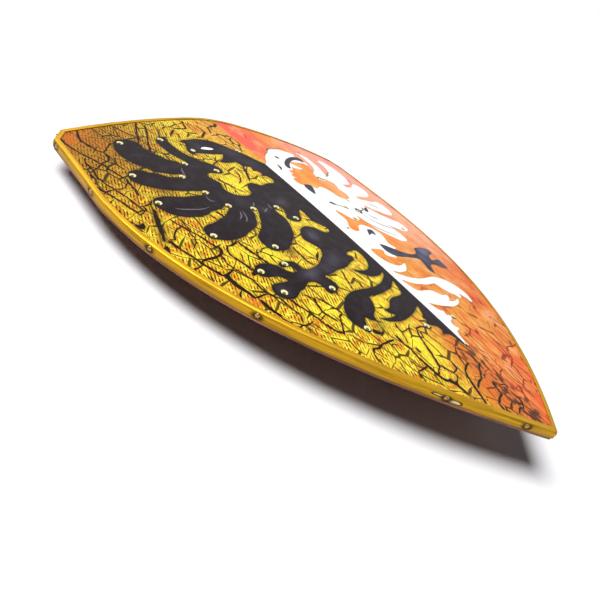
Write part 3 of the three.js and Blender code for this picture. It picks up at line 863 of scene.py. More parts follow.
def crack(points, width):
    """A crooked line of uneven width with blunt ends, as a closed border."""
    line = [Vector(points[0])]
    for a, b in zip(points, points[1:]):
        line += [Vector(p) for p in straight(a, b, CRACK_STEP)[1:]] + [Vector(b)]
    upper, lower = [], []
    for i, point in enumerate(line):
        is_end = i in (0, len(line) - 1)
        half = width / 2 * (CRACK_END if is_end else crack_chance.uniform(*CRACK_UNEVEN))
        side = left_of(line, i)
        point = point + side * crack_chance.uniform(-CRACK_WANDER, CRACK_WANDER)
        upper.append(tuple(point + side * half))
        lower.append(tuple(point - side * half))
    return upper + lower[::-1]


print("cracks:", len(YELLOW_CRACKS), "and", len(RED_CRACKS))

# %% [markdown]
# ## Wood, brass, leather and steel
# - The board's back and edge are stained plywood: reddish brown, with grain that runs
#   from tip to top.
# - The edging is thin rolled brass, so its fine streaks run along the strip.
# - The nails are stamped brass, darker than the sheet.
# - The straps are brown harness leather with waxed thread.
# - The screws are plain steel.


# %% Materials of the parts
def stained_wood(name, light, dark, ply):
    """Stained plywood: long grain, and on an edge the thin lines of its plies."""
    material, add, _ = new_material(name)
    flat = add("scale", add("ShaderNodeUVMap", uv_map="flat"), PER_MM)
    cell = (95, 1.3) if ply else (3.2, 130)
    grain = pattern(add, "noise", flat, cell, 0.0, 4.0, 3)
    figure = pattern(add, "noise", flat, (150, 2.6) if ply else (24, 210), 0.03, 2.0, 8)
    pores = pattern(add, "noise", flat, (0.8, 9), 0.0, 1.0, 6)
    base = tinted(
        add, light,
        (add("step", grain, 0.35, 0.68), 1.0, dark),
        (add("step", figure, 0.45, 0.62), 0.55, dark),
        (add("step", pores, 0.66, 0.74), 0.5, "#2c1710"),
    )
    bump = {"Height": grain, "Strength": 0.25, "Distance": 0.0006}
    normal = add("ShaderNodeBump", bump)
    finish(add, {"Base Color": base, "Roughness": 0.6, "Normal": normal})
    return material


def rolled_brass(name, code, code_dull, roughness):
    """Rolled sheet brass: streaks along the strip, a little darker and rougher in places, with painted
    shade in the nail dents and low on the wall, and painted highlights on the creased folds.
    """
    material, add, _ = new_material(name)
    strip = add("scale", add("ShaderNodeUVMap", uv_map="strip"), PER_MM)
    streaks = pattern(add, "noise", strip, (70, 0.5), 0.0, 3.0, 3)
    clouds = pattern(add, "noise", strip, (45, 4.0), 0.0, 3.0, 5)
    painted_glint = add("ShaderNodeAttribute", attribute_name="painted_glint")
    base = tinted(
        add, code,
        (add("step", streaks, 0.35, 0.7), 1.0, code_dull),
        (add("step", clouds, 0.5, 0.75), 0.5, "#8a6a1c"),
        # A painted dark rim round each painted highlight, then the painted highlight itself, on the creased
        # folds.
        (add("step", painted_glint, 0.02, 0.2), 1.0, "#4a3410"),
        (add("step", painted_glint, 0.3, 0.6), 1.0, "#f0dca0"),
        # Painted shade in the nail dents and low on the wall.
        (add("ShaderNodeAttribute", attribute_name="painted_shade"), 0.9, "#2c1e08"),
    )
    rough = add("range", streaks, 0.2, 0.8, roughness - 0.08, roughness + 0.14)
    bump = {"Height": streaks, "Strength": 0.3, "Distance": 0.0003}
    normal = add("ShaderNodeBump", bump)
    finish(add, {"Base Color": base, "Metallic": 1.0, "Roughness": rough, "Normal": normal})
    return material


def cast_metal(name, code, code_dull, roughness, grit):
    """A small turned or stamped metal part with a fine uneven surface."""
    material, add, place = new_material(name)
    speckle = {"Vector": place, "Scale": 1 / grit, "Detail": 3.0}
    speckle = add("ShaderNodeTexNoise", speckle)
    base = add("mix", add("step", speckle, 0.4, 0.7), code, code_dull)
    rough = add("range", speckle, 0.3, 0.7, roughness - 0.06, roughness + 0.12)
    bump = {"Height": speckle, "Strength": 0.25, "Distance": 0.0002}
    normal = add("ShaderNodeBump", bump)
    finish(add, {"Base Color": base, "Metallic": 1.0, "Roughness": rough, "Normal": normal})
    return material


def harness_leather():
    """Vegetable-tanned leather: pebbled grain about 1.4 mm across, darker creases and edges."""
    material, add, place = new_material("harness_leather")
    pebble = {"Vector": place, "Scale": 1 / 1.4, "Randomness": 1.0}
    pebble = add("ShaderNodeTexVoronoi", pebble, feature="DISTANCE_TO_EDGE")
    clouds = add("ShaderNodeTexNoise", {"Vector": place, "Scale": 1 / 18, "Detail": 4.0})
    base = tinted(
        add, "#6a4428",
        (add("step", clouds, 0.35, 0.7), 1.0, "#4a2c18"),
        (add("step", pebble, 0.16, 0.02), 0.6, "#2a170c"),
        (add("ShaderNodeAttribute", attribute_name="worn"), 1.0, "#2e1a10"),
    )
    bump = {"Height": add("step", pebble, 0.0, 0.3), "Strength": 0.5, "Distance": 0.0004}
    normal = add("ShaderNodeBump", bump)
    finish(add, {"Base Color": base, "Roughness": 0.58, "Normal": normal})
    return material


def waxed_thread():
    """Waxed linen thread: pale, with a twist about 0.9 mm long."""
    material, add, place = new_material("waxed_linen_thread")
    twist = {"Vector": place, "Scale": 1 / 0.9, "Distortion": 0.6}
    twist = add("ShaderNodeTexWave", twist, bands_direction="DIAGONAL")
    base = add("mix", twist, "#b99f6c", "#e0cc9c")
    finish(add, {"Base Color": base, "Roughness": 0.7})
    return material


# Plywood, rolled and stamped brass, harness leather, linen thread and turned steel
ply_edge = stained_wood("stained_plywood_edge", "#c07a60", "#5e3020", True)
ply_back = stained_wood("stained_plywood_back", "#8a5e44", "#5e3a28", False)
edging_brass = rolled_brass("rolled_brass_sheet", "#d6a628", "#a87c18", 0.46)
nail_brass = cast_metal("stamped_brass", "#b89a62", "#64491e", 0.26, 1.2)
strap_leather = harness_leather()
thread = waxed_thread()
screw_steel = cast_metal("turned_steel", "#a8a6a2", "#7e7c78", 0.34, 0.9)
print("materials:", len(bpy.data.materials))

# %% [markdown]
# ## The board
# The picture is laid out flat with a constrained triangulation: every border in the print
# becomes a row of mesh edges, so each colour is a set of faces with its own material and
# the borders stay sharp however close one looks. Extra points beside the eagle's border
# carry a soft value for the dark fringe, and the round spots become soft values too. Then
# the whole sheet is bent, and the edge and the back are added to close the board.

# %% Layout of the print
BOARD_INSET = 1.3
GRID = 7.0
FRINGE_STEPS = (-2.0, 2.0, 4.5)
FRINGE_REACH = 4.5
FRINGE_CLEAR = 0.8
LOOSE_INSET = 3.0
INSIDE_ONLY = 1
SNAP = 1e-4
NAIL_SHAPES = [  # discs of a printed nail, the lowest first: place, radius and paint
    (-0.9, -1.0, 4.9, nail_shade_paint), (0.1, 0.1, 4.0, nail_ring_paint),
    (-2.7, -2.4, 2.2, nail_shade_paint), (-0.9, -0.9, 1.9, nail_heart_paint),
]

outline = outline_points(4)
board_outline = inset(outline, BOARD_INSET)
layers = [(board_outline, field_paint)]
layers += [(crack(points, width * INK_SPREAD), crack_paint) for width, points in YELLOW_CRACKS]
layers += [(crack(points, width * INK_SPREAD), red_crack_paint) for width, points in RED_CRACKS]
layers += [(rounded(blot), crack_paint) for blot in DARK_BLOTS]
for side, paint in ((-1, black_paint), (1, white_paint)):
    layers.append((on_side(half_border, side), paint))
layers += [(rounded(s), white_paint) for s in WHITE_FILLS]
layers += [(on_side(stroke(s, LIGHT_WIDTH), -1), grey_paint) for s in BLACK_STROKES]
layers += [(stroke(s, LINE_WIDTH), charcoal_paint) for s in WHITE_STROKES]
layers.append((leg_border, field_paint))
layers.append((rounded(WHITE_LEG), charcoal_paint))
layers += [(stroke(s, OLIVE_WIDTH), olive_paint) for s in OLIVE_STROKES]
layers += [(rounded(s), charcoal_paint) for s in WHITE_SHADES]
layers += [(disc(u, v, radius), charcoal_paint) for u, v, radius in DARK_DOTS]
layers.append((on_side(rounded(EYE), -1), white_paint))
layers.append((disc(-BEAK_SPOT[0], BEAK_SPOT[1], BEAK_SPOT[2]), nail_ring_paint))
marks = [(-u, v, 1.0) for u, v in NAIL_MARKS] + [(u, v, 0.8) for u, v in WHITE_NAIL_MARKS]
for u, v, size in marks:
    for across, up, radius, paint in NAIL_SHAPES:
        layers.append((disc(u + across * size, v + up * size, radius * size), paint))
print("printed shapes:", len(layers))


# %% Triangulation
def search_tree(points):
    """Flat points as a tree that finds the nearest one."""
    tree = kdtree.KDTree(len(points))
    for i, (u, v) in enumerate(points):
        tree.insert((u, v, 0), i)
    tree.balance()
    return tree


def inside(points, polygon):
    """Which of the points lie inside the polygon."""
    points, polygon = np.asarray(points, float), np.asarray(polygon, float)
    found = np.zeros(len(points), bool)
    for a, b in zip(polygon, np.roll(polygon, -1, axis=0)):
        crosses = (a[1] > points[:, 1]) != (b[1] > points[:, 1])
        rise = np.where(crosses, b[1] - a[1], 1.0)
        at = a[0] + (points[:, 1] - a[1]) / rise * (b[0] - a[0])
        found ^= crosses & (points[:, 0] < at)
    return found


both_borders = on_side(half_border, -1) + on_side(half_border, 1)
border_tree = search_tree(both_borders)


def border_distance(u, v):
    return border_tree.find((u, v, 0))[2]


def fringe_points():
    """Rows of points beside the eagle's border."""
    found = []
    for side in (-1, 1):
        border = [Vector(p) for p in on_side(half_border, side)]
        for i in range(1, len(border) - 1, 2):
            for step in FRINGE_STEPS:
                point = border[i] + left_of(border, i) * step * side
                if border_distance(*point) > FRINGE_CLEAR * abs(step):
                    found.append(tuple(point))
    return found


def grid_points():
    """Staggered rows of points over the whole board, but for the fringe."""
    columns = int(HALF_WIDTH / GRID)
    found = []
    for row in range(1, int(LENGTH / GRID) + 1):
        shift = 0.5 * GRID * (row % 2)
        found += [(column * GRID + shift, row * GRID) for column in range(-columns, columns + 1)]
    return [p for p in found if border_distance(*p) > FRINGE_REACH]


def triangulated(layers, loose):
    """Vertices and triangles of the flat print; each triangle has the top layer's number."""
    coordinates, faces = [], []
    for polygon, _ in layers:
        polygon = anticlockwise(list(polygon))
        faces.append(list(range(len(coordinates), len(coordinates) + len(polygon))))
        coordinates += polygon
    coordinates += loose
    flat = [Vector(c) for c in coordinates]
    points, _, triangles, _, _, owners = delaunay_2d_cdt(flat, [], faces, INSIDE_ONLY, SNAP, True)
    owned = [(triangle, max(owner)) for triangle, owner in zip(triangles, owners) if owner]
    return points, [triangle for triangle, _ in owned], [top for _, top in owned]


loose = fringe_points() + grid_points()
kept = inside(loose, inset(board_outline, LOOSE_INSET))
loose = [p for p, keep in zip(loose, kept) if keep]
flat_points, flat_triangles, flat_layers = triangulated(layers, loose)
print("print triangles:", len(flat_triangles))

# %% Board mesh
BACK_BEVEL = 0.8
BACK_GRID = 24
SAME_POINT = 0.01
SOFT_VALUES = ("rim", "haze", "tone", "warmth", "halo")


def value_near(point, spots, side=-1):
    """A sum of soft round spots on one side of the centre line, at most 1."""
    total = 0.0
    for spot_u, spot_v, reach, strength in spots:
        gap = ((point.x - side * spot_u) ** 2 + (point.y - spot_v) ** 2) / reach**2
        total += strength * math.exp(-gap)
    return min(total, 1.0)


def ring_along(mesh, points, t):
    """Bends flat points at one depth into vertices."""
    return [mesh.verts.new(bend(u, v, t)) for u, v in points]


def bridge(mesh, upper, lower, slot, strip_layer, top, bottom):
    """A closed band of faces between two rings."""
    length = 0.0
    count = len(upper)
    for i in range(count):
        j = (i + 1) % count
        face = mesh.faces.new((upper[i], lower[i], lower[j], upper[j]))
        face.material_index = slot
        ahead = length + (upper[j].co - upper[i].co).length
        corners = ((length, top), (length, bottom), (ahead, bottom), (ahead, top))
        for loop, (s, t) in zip(face.loops, corners):
            loop[strip_layer].uv = (s, t * MM)
        length = ahead


def finished(mesh, name, materials):
    """A worked mesh as mesh data with its materials."""
    data = bpy.data.meshes.new(name)
    mesh.to_mesh(data)
    mesh.free()
    for material in materials:
        data.materials.append(material)
    return data


def capped(mesh, rings):
    """Closes both ends of a band of rings, with all faces small and facing out."""
    mesh.faces.new(rings[0][::-1])
    mesh.faces.new(rings[-1])
    bmesh.ops.triangulate(mesh, faces=[f for f in mesh.faces if len(f.verts) > 4])
    bmesh.ops.recalc_face_normals(mesh, faces=mesh.faces[:])


def lay_print(mesh, flat_uv, slots):
    """Bends the print into the board's face, with its soft values, and gives its outer ring."""
    soft = {name: mesh.verts.layers.float.new(name) for name in SOFT_VALUES}
    verts = ring_along(mesh, flat_points, 0)
    for vert, p in zip(verts, flat_points):
        vert[soft["rim"]] = max(0.0, 1 - border_distance(p.x, p.y) / FRINGE_REACH) ** 2
        vert[soft["haze"]] = value_near(p, HAZES)
        vert[soft["tone"]] = value_near(p, BLACK_LIGHTS) + value_near(p, WHITE_SIDE_LIGHTS, 1)
        vert[soft["warmth"]] = value_near(p, EMBERS) - value_near(p, GLEAMS)
    for triangle, layer in zip(flat_triangles, flat_layers):
        paint = layers[layer][1]
        face = mesh.faces.new([verts[i] for i in triangle])
        face.material_index = slots.index(paint)
        for loop, i in zip(face.loops, triangle):
            loop[flat_uv].uv = flat_points[i] * MM
            if paint is crack_paint:
                loop.vert[soft["halo"]] = 1.0
    nearest = search_tree([tuple(p) for p in flat_points])
    return [verts[nearest.find((u, v, 0))[1]] for u, v in board_outline]


def close_back(mesh, flat_uv, border, ring, slot):
    """The plain back: an even grid inside its border, joined to the ring of the edge."""
    spread = np.arange(-HALF_WIDTH, HALF_WIDTH, BACK_GRID)
    inner = [(u, v) for u in spread for v in np.arange(BACK_GRID, LENGTH, BACK_GRID)]
    kept = inside(inner, inset(border, BACK_GRID / 4))
    inner = [p for p, keep in zip(inner, kept) if keep]
    points, triangles, _ = triangulated([(border, ply_back)], inner)
    nearest = search_tree(border)
    verts = []
    for p in points:
        _, i, gap = nearest.find((p.x, p.y, 0))
        verts.append(ring[i] if gap < SAME_POINT else ring_along(mesh, [p], -BOARD_THICKNESS)[0])
    for triangle in triangles:
        face = mesh.faces.new([verts[i] for i in reversed(triangle)])
        face.material_index = slot
        for loop, i in zip(face.loops, reversed(triangle)):
            loop[flat_uv].uv = points[i] * MM


def build_board():
    """The face, the edge with a small bevel at the back, and the back."""
    mesh = bmesh.new()
    flat_uv = mesh.loops.layers.uv.new("flat")
    slots = list(dict.fromkeys(paint for _, paint in layers)) + [ply_edge, ply_back]
    edge_slot, back_slot = len(slots) - 2, len(slots) - 1
    top_ring = lay_print(mesh, flat_uv, slots)
    bevel_t = -BOARD_THICKNESS + BACK_BEVEL
    lower_ring = ring_along(mesh, board_outline, bevel_t)
    back_outline = inset(board_outline, BACK_BEVEL)
    back_ring = ring_along(mesh, back_outline, -BOARD_THICKNESS)
    bridge(mesh, top_ring, lower_ring, edge_slot, flat_uv, 0, bevel_t)
    bridge(mesh, lower_ring, back_ring, edge_slot, flat_uv, bevel_t, -BOARD_THICKNESS)
    close_back(mesh, flat_uv, back_outline, back_ring, back_slot)
    return finished(mesh, "painted_board", slots)


def place_piece(name, data, *replaced, slot=None, sharp=35):
    """Puts a finished mesh in the scene and on the part."""
    piece = put_in_scene(name, data)
    data.polygons.foreach_set("use_smooth", [True] * len(data.polygons))
    data.set_sharp_from_angle(angle=math.radians(sharp))
    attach(piece, "root")
    if replaced:
        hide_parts(*replaced)
    return piece


board = place_piece("painted_board", build_board(), "board", slot="painted_wood")
print("board faces:", len(board.data.polygons))

# %% [markdown]
# ## The brass edging
# One thin strip goes up each side and one along the top. Its section is an angle: a wall
# that stands round the board's edge, a soft fold, and a lip on the face. The section is
# carried along the outline point by point, so the wall can be pressed in round each nail,
# as hammering does, and creased where the real strip is. The strips meet in mitred joints.

# %% Edging
EDGING_DEPTH = 9.1
LOWER_EDGE_T = -8.8
LIP_WIDTH = 7.2
MITRE_GAP = 0.3
EDGING_STEP = 1.6
SECTION = [  # how far inside the outline, and t
    (1.0, -EDGING_DEPTH), (0.35, -EDGING_DEPTH), (0.12, LOWER_EDGE_T), (0.1, -7.7), (0.08, -6.5),
    (0.05, -5.3), (0.02, -3.9), (0.0, -2.9), (0.05, -2.2), (0.45, -1.0), (0.8, 0.1), (1.3, 0.9),
    (2.1, 1.25), (3.2, 1.3), (4.6, 1.3), (6.2, 1.28), (6.9, 1.2), (LIP_WIDTH, 0.95),
    (LIP_WIDTH, 0.3), (6.0, 0.3), (1.3, 0.3), (1.0, -0.2), (1.0, -4.5),
]
SIDE_NAIL_V = [24, 89, 249, 369, 475, 571]
TOP_NAIL_U = [-195, -70, 70, 195]
NAIL_T = -3.9
DENT_DEPTH = 1.0
DENT_RIDGE = 0.4
DENT_ALONG = 3.9
DENT_ACROSS = 2.4
RIDGE_MIDDLE = 1.7
RIDGE_WIDTH = 0.45
FARTHEST_DENT = 4
PRESSED_LEAST = -0.7
PRESSED_MOST = 0.85
# Painted shade on the wall: dark in the nail dents and towards the bottom of the wall, where the real strip
# lies in shade.
DENT_PAINTED_SHADE = 1.2
PAINTED_SHADE_REACH = 1.8
LOWER_EDGE_PAINTED_SHADE = 0.7
PAINTED_SHADE_FROM_T = -3.5
PAINTED_SHADE_PER_MM = 0.06
CREASE_V = 89
# Painted highlights on the folds beside the crease:
PAINTED_GLINTS = [(9, -3.0, 7, 1.2), (-9, -5.0, 8, 1.7)]  # ahead, t, length and width
CREASE_FOLDS = [  # the same, and how deep
    (10, -1.9, 9, 0.9, -0.6), (10, -3.6, 9, 0.9, 0.6),
    (-10, -4.9, 10, 1.1, -0.7), (-10, -2.9, 10, 0.9, 0.7),
]


def running_lengths(points):
    """How far each point is along the line through all of them."""
    lengths = [0.0]
    for a, b in zip(points, points[1:]):
        lengths.append(lengths[-1] + (Vector(b) - Vector(a)).length)
    return lengths


edging_path = outline_points(EDGING_STEP)
path_lengths = running_lengths(edging_path)
path_inward = inward(edging_path)
section_lengths = running_lengths(SECTION + SECTION[:1])
corner_middle = (Vector(CORNER_LOW) + Vector(CORNER_HIGH)) / 2


def path_index(point):
    return min(range(len(edging_path)), key=lambda i: (Vector(edging_path[i]) - point).length)


def nail_indices():
    """The points of the path that carry the nails: left side, right side, then the top."""
    found = []
    top_v = CORNER_HIGH[1]
    for side in (-1, 1):
        here = [i for i, (u, v) in enumerate(edging_path) if u * side > 0 and v < top_v]
        found += [min(here, key=lambda i: abs(edging_path[i][1] - height)) for height in SIDE_NAIL_V]
    on_top = [i for i, (u, v) in enumerate(edging_path) if v > top_v]
    found += [min(on_top, key=lambda i: abs(edging_path[i][0] - across)) for across in TOP_NAIL_U]
    return found


nails_at = nail_indices()
crease_at = nails_at[SIDE_NAIL_V.index(CREASE_V)]


def nail_gaps(i, t):
    """How far a point of the wall is from each nail near it, counted in dents."""
    for nail in nails_at:
        along = (path_lengths[nail] - path_lengths[i]) / DENT_ALONG
        if abs(along) < FARTHEST_DENT:
            yield math.hypot(along, (t - NAIL_T) / DENT_ACROSS)


def near_crease(i, t, ahead, middle_t, length, width):
    """1 in the middle of a patch beside the crease, falling to 0 outside it."""
    along = (path_lengths[crease_at] - path_lengths[i] - ahead) / length
    return math.exp(-along**4 - ((t - middle_t) / width) ** 2)


def pressed_in(i, t):
    """How far the wall is pushed in at a point of the path and a depth."""
    here = path_lengths[i]
    total = 0.06 * math.sin(here * 0.11 + 0.4 * t) + 0.05 * math.sin(here * 0.037 + 1.3)
    for gap in nail_gaps(i, t):
        ridge = math.exp(-(((gap - RIDGE_MIDDLE) / RIDGE_WIDTH) ** 2))
        total += DENT_DEPTH * math.exp(-gap**2) - DENT_RIDGE * ridge
    for *patch, depth in CREASE_FOLDS:
        total += depth * near_crease(i, t, *patch)
    return min(max(total, PRESSED_LEAST), PRESSED_MOST)


def painted_shade_at(i, t):
    """Painted shade in the dents round the nails and towards the lower edge of the wall: 0 to 1."""
    total = LOWER_EDGE_PAINTED_SHADE if t <= LOWER_EDGE_T else max(0.0, PAINTED_SHADE_FROM_T - t) * PAINTED_SHADE_PER_MM
    for gap in nail_gaps(i, t):
        total += DENT_PAINTED_SHADE * math.exp(-((gap / PAINTED_SHADE_REACH) ** 4))
    return min(total, 1.0)


def painted_glint_at(i, t):
    """A painted highlight on the folds beside the crease: 0 to 1."""
    return min(sum(near_crease(i, t, *patch) for patch in PAINTED_GLINTS), 1.0)


def edging_strip(first, last, name):
    """The strip between two points of the path, closed at both ends."""
    indices = [i % len(edging_path) for i in range(first, last + 1)]
    mesh = bmesh.new()
    strip_uv = mesh.loops.layers.uv.new("strip")
    painted_shade = mesh.verts.layers.float.new("painted_shade")
    painted_glint = mesh.verts.layers.float.new("painted_glint")
    rings, travelled, walked = [], [], 0.0
    for place, i in enumerate(indices):
        point, step = Vector(edging_path[i]), path_inward[i]
        if place in (0, len(indices) - 1):
            neighbour = Vector(edging_path[indices[1 if place == 0 else -2]])
            point = point + (neighbour - point).normalized() * MITRE_GAP / 2
        if place:
            walked += (Vector(edging_path[i]) - Vector(edging_path[indices[place - 1]])).length
        travelled.append(walked)
        ring = []
        for n, t in SECTION:
            outer_wall = n < 0.5 and t < 0
            n += pressed_in(i, t) if outer_wall else 0.0
            spot = point + step * n
            vertex = mesh.verts.new(bend(spot.x, spot.y, t))
            if outer_wall:
                # The wall's vertices carry the painted shade and the painted highlight.
                vertex[painted_shade] = painted_shade_at(i, t)
                vertex[painted_glint] = painted_glint_at(i, t)
            ring.append(vertex)
        rings.append(ring)
    corners = len(SECTION)
    for k in range(len(rings) - 1):
        for m in range(corners):
            n = (m + 1) % corners
            face = mesh.faces.new((rings[k][m], rings[k][n], rings[k + 1][n], rings[k + 1][m]))
            uv = ((k, m), (k, m + 1), (k + 1, m + 1), (k + 1, m))
            for loop, (ahead, across) in zip(face.loops, uv):
                loop[strip_uv].uv = (travelled[ahead] * MM, section_lengths[across] * MM)
    capped(mesh, rings)
    return finished(mesh, name, [edging_brass])


tip_index = 0
right_corner = path_index(corner_middle)
left_corner = path_index(Vector((-corner_middle.x, corner_middle.y)))
strips = {
    "edging_right": (tip_index, right_corner),
    "edging_top": (right_corner, left_corner),
    "edging_left": (left_corner, len(edging_path)),
}
for node, (first, last) in strips.items():
    strip = place_piece("brass_" + node, edging_strip(first, last, node), node, slot="brass_edging")
    print(strip.name, "faces:", len(strip.data.polygons))

# %% [markdown]
# ## Nails by Geometry Nodes
# Sixteen round-headed nails hold the edging. A nail head is one small dome, so it is made
# once and put on points: each point carries a direction named facing, and the tree turns
# the dome to it. The tree ends in real mesh with its material, because a copy that is only
# an instance would be lost when the model is exported.


# %% Tree for domed heads
def new_tree(name, sizes):
    """A geometry tree with an input per size, the function that adds its nodes, and its inputs."""
    tree = bpy.data.node_groups.new(name, "GeometryNodeTree")
    tree.interface.new_socket("Geometry", in_out="INPUT", socket_type="NodeSocketGeometry")
    for size in sizes:
        tree.interface.new_socket(size, in_out="INPUT", socket_type="NodeSocketFloat")
    tree.interface.new_socket("Geometry", in_out="OUTPUT", socket_type="NodeSocketGeometry")
    add = partial(add_node, tree)
    return tree, add, add("NodeGroupInput").outputs


def copies_on(add, points, shape, scale, rotation, material):
    """Ends a tree: the shape on every point, as real smooth mesh with its material."""
    copy = add("GeometryNodeTransform", {"Geometry": shape, "Scale": scale})
    spread = {"Points": points, "Instance": copy, "Rotation": rotation}
    spread = add("GeometryNodeInstanceOnPoints", spread)
    real = add("GeometryNodeRealizeInstances", {"Geometry": spread})
    smooth = add("GeometryNodeSetShadeSmooth", {"Geometry": real})
    painted = add("GeometryNodeSetMaterial", {"Geometry": smooth, "Material": material})
    add("NodeGroupOutput", {0: painted})


def grown(name, data, tree, sizes, *replaced, slot=None):
    """Runs a tree on a mesh, with sizes in millimetres, and keeps the result as a plain piece."""
    seed = put_in_scene(name, data)
    modifier = seed.modifiers.new(name, "NODES")
    modifier.node_group = tree
    for item in tree.interface.items_tree:
        if item.in_out == "INPUT" and item.name in sizes:
            modifier[item.identifier] = sizes[item.name] * MM
    evaluated = seed.evaluated_get(bpy.context.evaluated_depsgraph_get())
    made = bpy.data.meshes.new_from_object(evaluated)
    bpy.data.objects.remove(seed)
    return place_piece(name, made, *replaced, slot=slot, sharp=50)


def points_mesh(name, places):
    """A mesh of loose points, each with a facing direction."""
    data = bpy.data.meshes.new(name)
    data.from_pydata([place for place, _ in places], [], [])
    facing = data.attributes.new("facing", "FLOAT_VECTOR", "POINT")
    facing.data.foreach_set("vector", [c for _, direction in places for c in direction])
    return data


def dome_tree(name, material):
    tree, add, given = new_tree(name, ["Head radius", "Head height"])
    ball = add("GeometryNodeMeshUVSphere", {"Segments": 20, "Rings": 12, "Radius": 1.0})
    size = {0: given["Head radius"], 1: given["Head radius"], 2: given["Head height"]}
    size = add("ShaderNodeCombineXYZ", size)
    facing = add("GeometryNodeInputNamedAttribute", {"Name": "facing"}, data_type="FLOAT_VECTOR")
    turned = add("FunctionNodeAlignRotationToVector", {"Vector": facing}, axis="Z")
    copies_on(add, given["Geometry"], ball, size, turned, material)
    return tree


# %% Rim nails
NAIL_RADIUS = 3.1
NAIL_HEIGHT = 1.6
NAIL_SEAT = 0.75


def nail_places():
    places = []
    for i in nails_at:
        point, step = Vector(edging_path[i]), path_inward[i]
        seat = point + step * NAIL_SEAT
        outside = point - step * 5
        inner, outer = bend(seat.x, seat.y, NAIL_T), bend(outside.x, outside.y, NAIL_T)
        places.append((inner, (outer - inner).normalized()))
    return places


head_sizes = {"Head radius": NAIL_RADIUS, "Head height": NAIL_HEIGHT}
rim_nail_names = [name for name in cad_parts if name.startswith("rim_nail_")]
rim_nails = grown(
    "brass_rim_nails", points_mesh("rim_nails", nail_places()), dome_tree("domed_heads", nail_brass),
    head_sizes, *rim_nail_names, slot="brass_nail",
)
print("nail faces:", len(rim_nails.data.polygons))

# %% [markdown]
# ## Straps, stitches and screws
# Two bands of leather cross the back: a longer one for the forearm and a shorter grip for
# the hand. Each is one strip with rounded edges, swept along its side view. A row of
# stitches runs along both edges, and two screws hold each end.

# %% Straps
STRAP_WIDTH = 40
STRAP_THICKNESS = 4
STRAP_GAP = 0.3
STRAPS = {
    "arm_strap": {"u": 112, "v": 372, "flat": 34, "rise": 66, "end": 100},
    "hand_grip": {"u": -112, "v": 372, "flat": 27, "rise": 56, "end": 90},
}
STRAP_FOOT = 6
STRAP_PULL = (4, 6)
EDGE_ROUND = 1.2
TAPER_LENGTH = 8
TAPER_SHARE = 0.12
WORN_WIDTH = 0.7


def strap_line(strap):
    """The middle line of a band in its side view: along the strap, and depth below the board."""
    low = STRAP_DEPTH - STRAP_THICKNESS / 2
    high = STRAP_GAP + STRAP_THICKNESS / 2
    middle = (strap["flat"] + strap["rise"]) / 2
    foot = (-strap["rise"] - STRAP_FOOT, high)
    fall = (-strap["flat"], low)
    start = straight((-strap["end"], high), foot, 4)
    down = bezier(foot, (-middle - STRAP_PULL[0], high), (-middle - STRAP_PULL[1], low), fall, 3)
    half = start + down + straight(fall, (0, low), 4)
    return half + [(0, low)] + [(-along, depth) for along, depth in reversed(half)]


def hang_point(strap, across, along, depth):
    u, v = strap["u"] + across, strap["v"] + along
    level = depth / STRAP_DEPTH
    back_here = surface_height(u, v, -BOARD_THICKNESS)
    back_middle = surface_height(strap["u"], strap["v"], -BOARD_THICKNESS)
    z = back_here + (back_middle - back_here) * level - depth + LIFT
    return Vector((bend(u, v, -BOARD_THICKNESS).x, (v - LENGTH / 2) * MM, z * MM))


def band_section():
    """Half width and half thickness of the band with rounded long edges."""
    w, h, r = STRAP_WIDTH / 2, STRAP_THICKNESS / 2, EDGE_ROUND
    corners = []
    centres = ((w - r, h - r, 0), (-w + r, h - r, 90), (-w + r, -h + r, 180), (w - r, -h + r, 270))
    for cu, ch, start in centres:
        for k in range(4):
            angle = math.radians(start + 30 * k)
            corners.append((cu + r * math.cos(angle), ch + r * math.sin(angle)))
    return corners


def build_strap(strap, name):
    line = [Vector(p) for p in strap_line(strap)]
    mesh = bmesh.new()
    worn = mesh.verts.layers.float.new("worn")
    rings = []
    for i, point in enumerate(line):
        side = left_of(line, i)
        end_gap = min(strap["end"] - abs(point.x), TAPER_LENGTH)
        narrow = 1 - TAPER_SHARE * (1 - end_gap / TAPER_LENGTH) ** 2
        ring = []
        for across, thick in band_section():
            spot = point + side * thick
            vert = mesh.verts.new(hang_point(strap, across * narrow, spot.x, spot.y))
            vert[worn] = 1.0 if abs(across) > STRAP_WIDTH / 2 - WORN_WIDTH else 0.0
            ring.append(vert)
        rings.append(ring)
    for a, b in zip(rings, rings[1:]):
        for k in range(len(a)):
            n = (k + 1) % len(a)
            mesh.faces.new((a[k], a[n], b[n], b[k]))
    capped(mesh, rings)
    return finished(mesh, name, [strap_leather])


for node, strap in STRAPS.items():
    piece = place_piece("leather_" + node, build_strap(strap, node), node, slot="strap_leather", sharp=40)
    print(piece.name, "faces:", len(piece.data.polygons))

# %% Stitches
STITCH_PITCH = 5.2
STITCH_LENGTH = 3.8
STITCH_THICKNESS = 0.9
STITCH_INSET = 3.6
STITCH_END_GAP = 4
STITCH_SUNK = 0.3


def stitch_tree(name, material):
    tree, add, given = new_tree(name, ["Pitch", "Length", "Thickness"])
    line = add("GeometryNodeMeshToCurve", {"Mesh": given["Geometry"]})
    even = {"Curve": line, "Length": given["Pitch"]}
    even = add("GeometryNodeResampleCurve", even, mode="LENGTH")
    tangent = add("GeometryNodeInputTangent")
    turned = add("FunctionNodeAlignRotationToVector", {"Vector": tangent}, axis="X")
    ball = add("GeometryNodeMeshUVSphere", {"Segments": 8, "Rings": 6, "Radius": 0.5})
    size = {0: given["Length"], 1: given["Thickness"], 2: given["Thickness"]}
    size = add("ShaderNodeCombineXYZ", size)
    copies_on(add, even, ball, size, turned, material)
    return tree


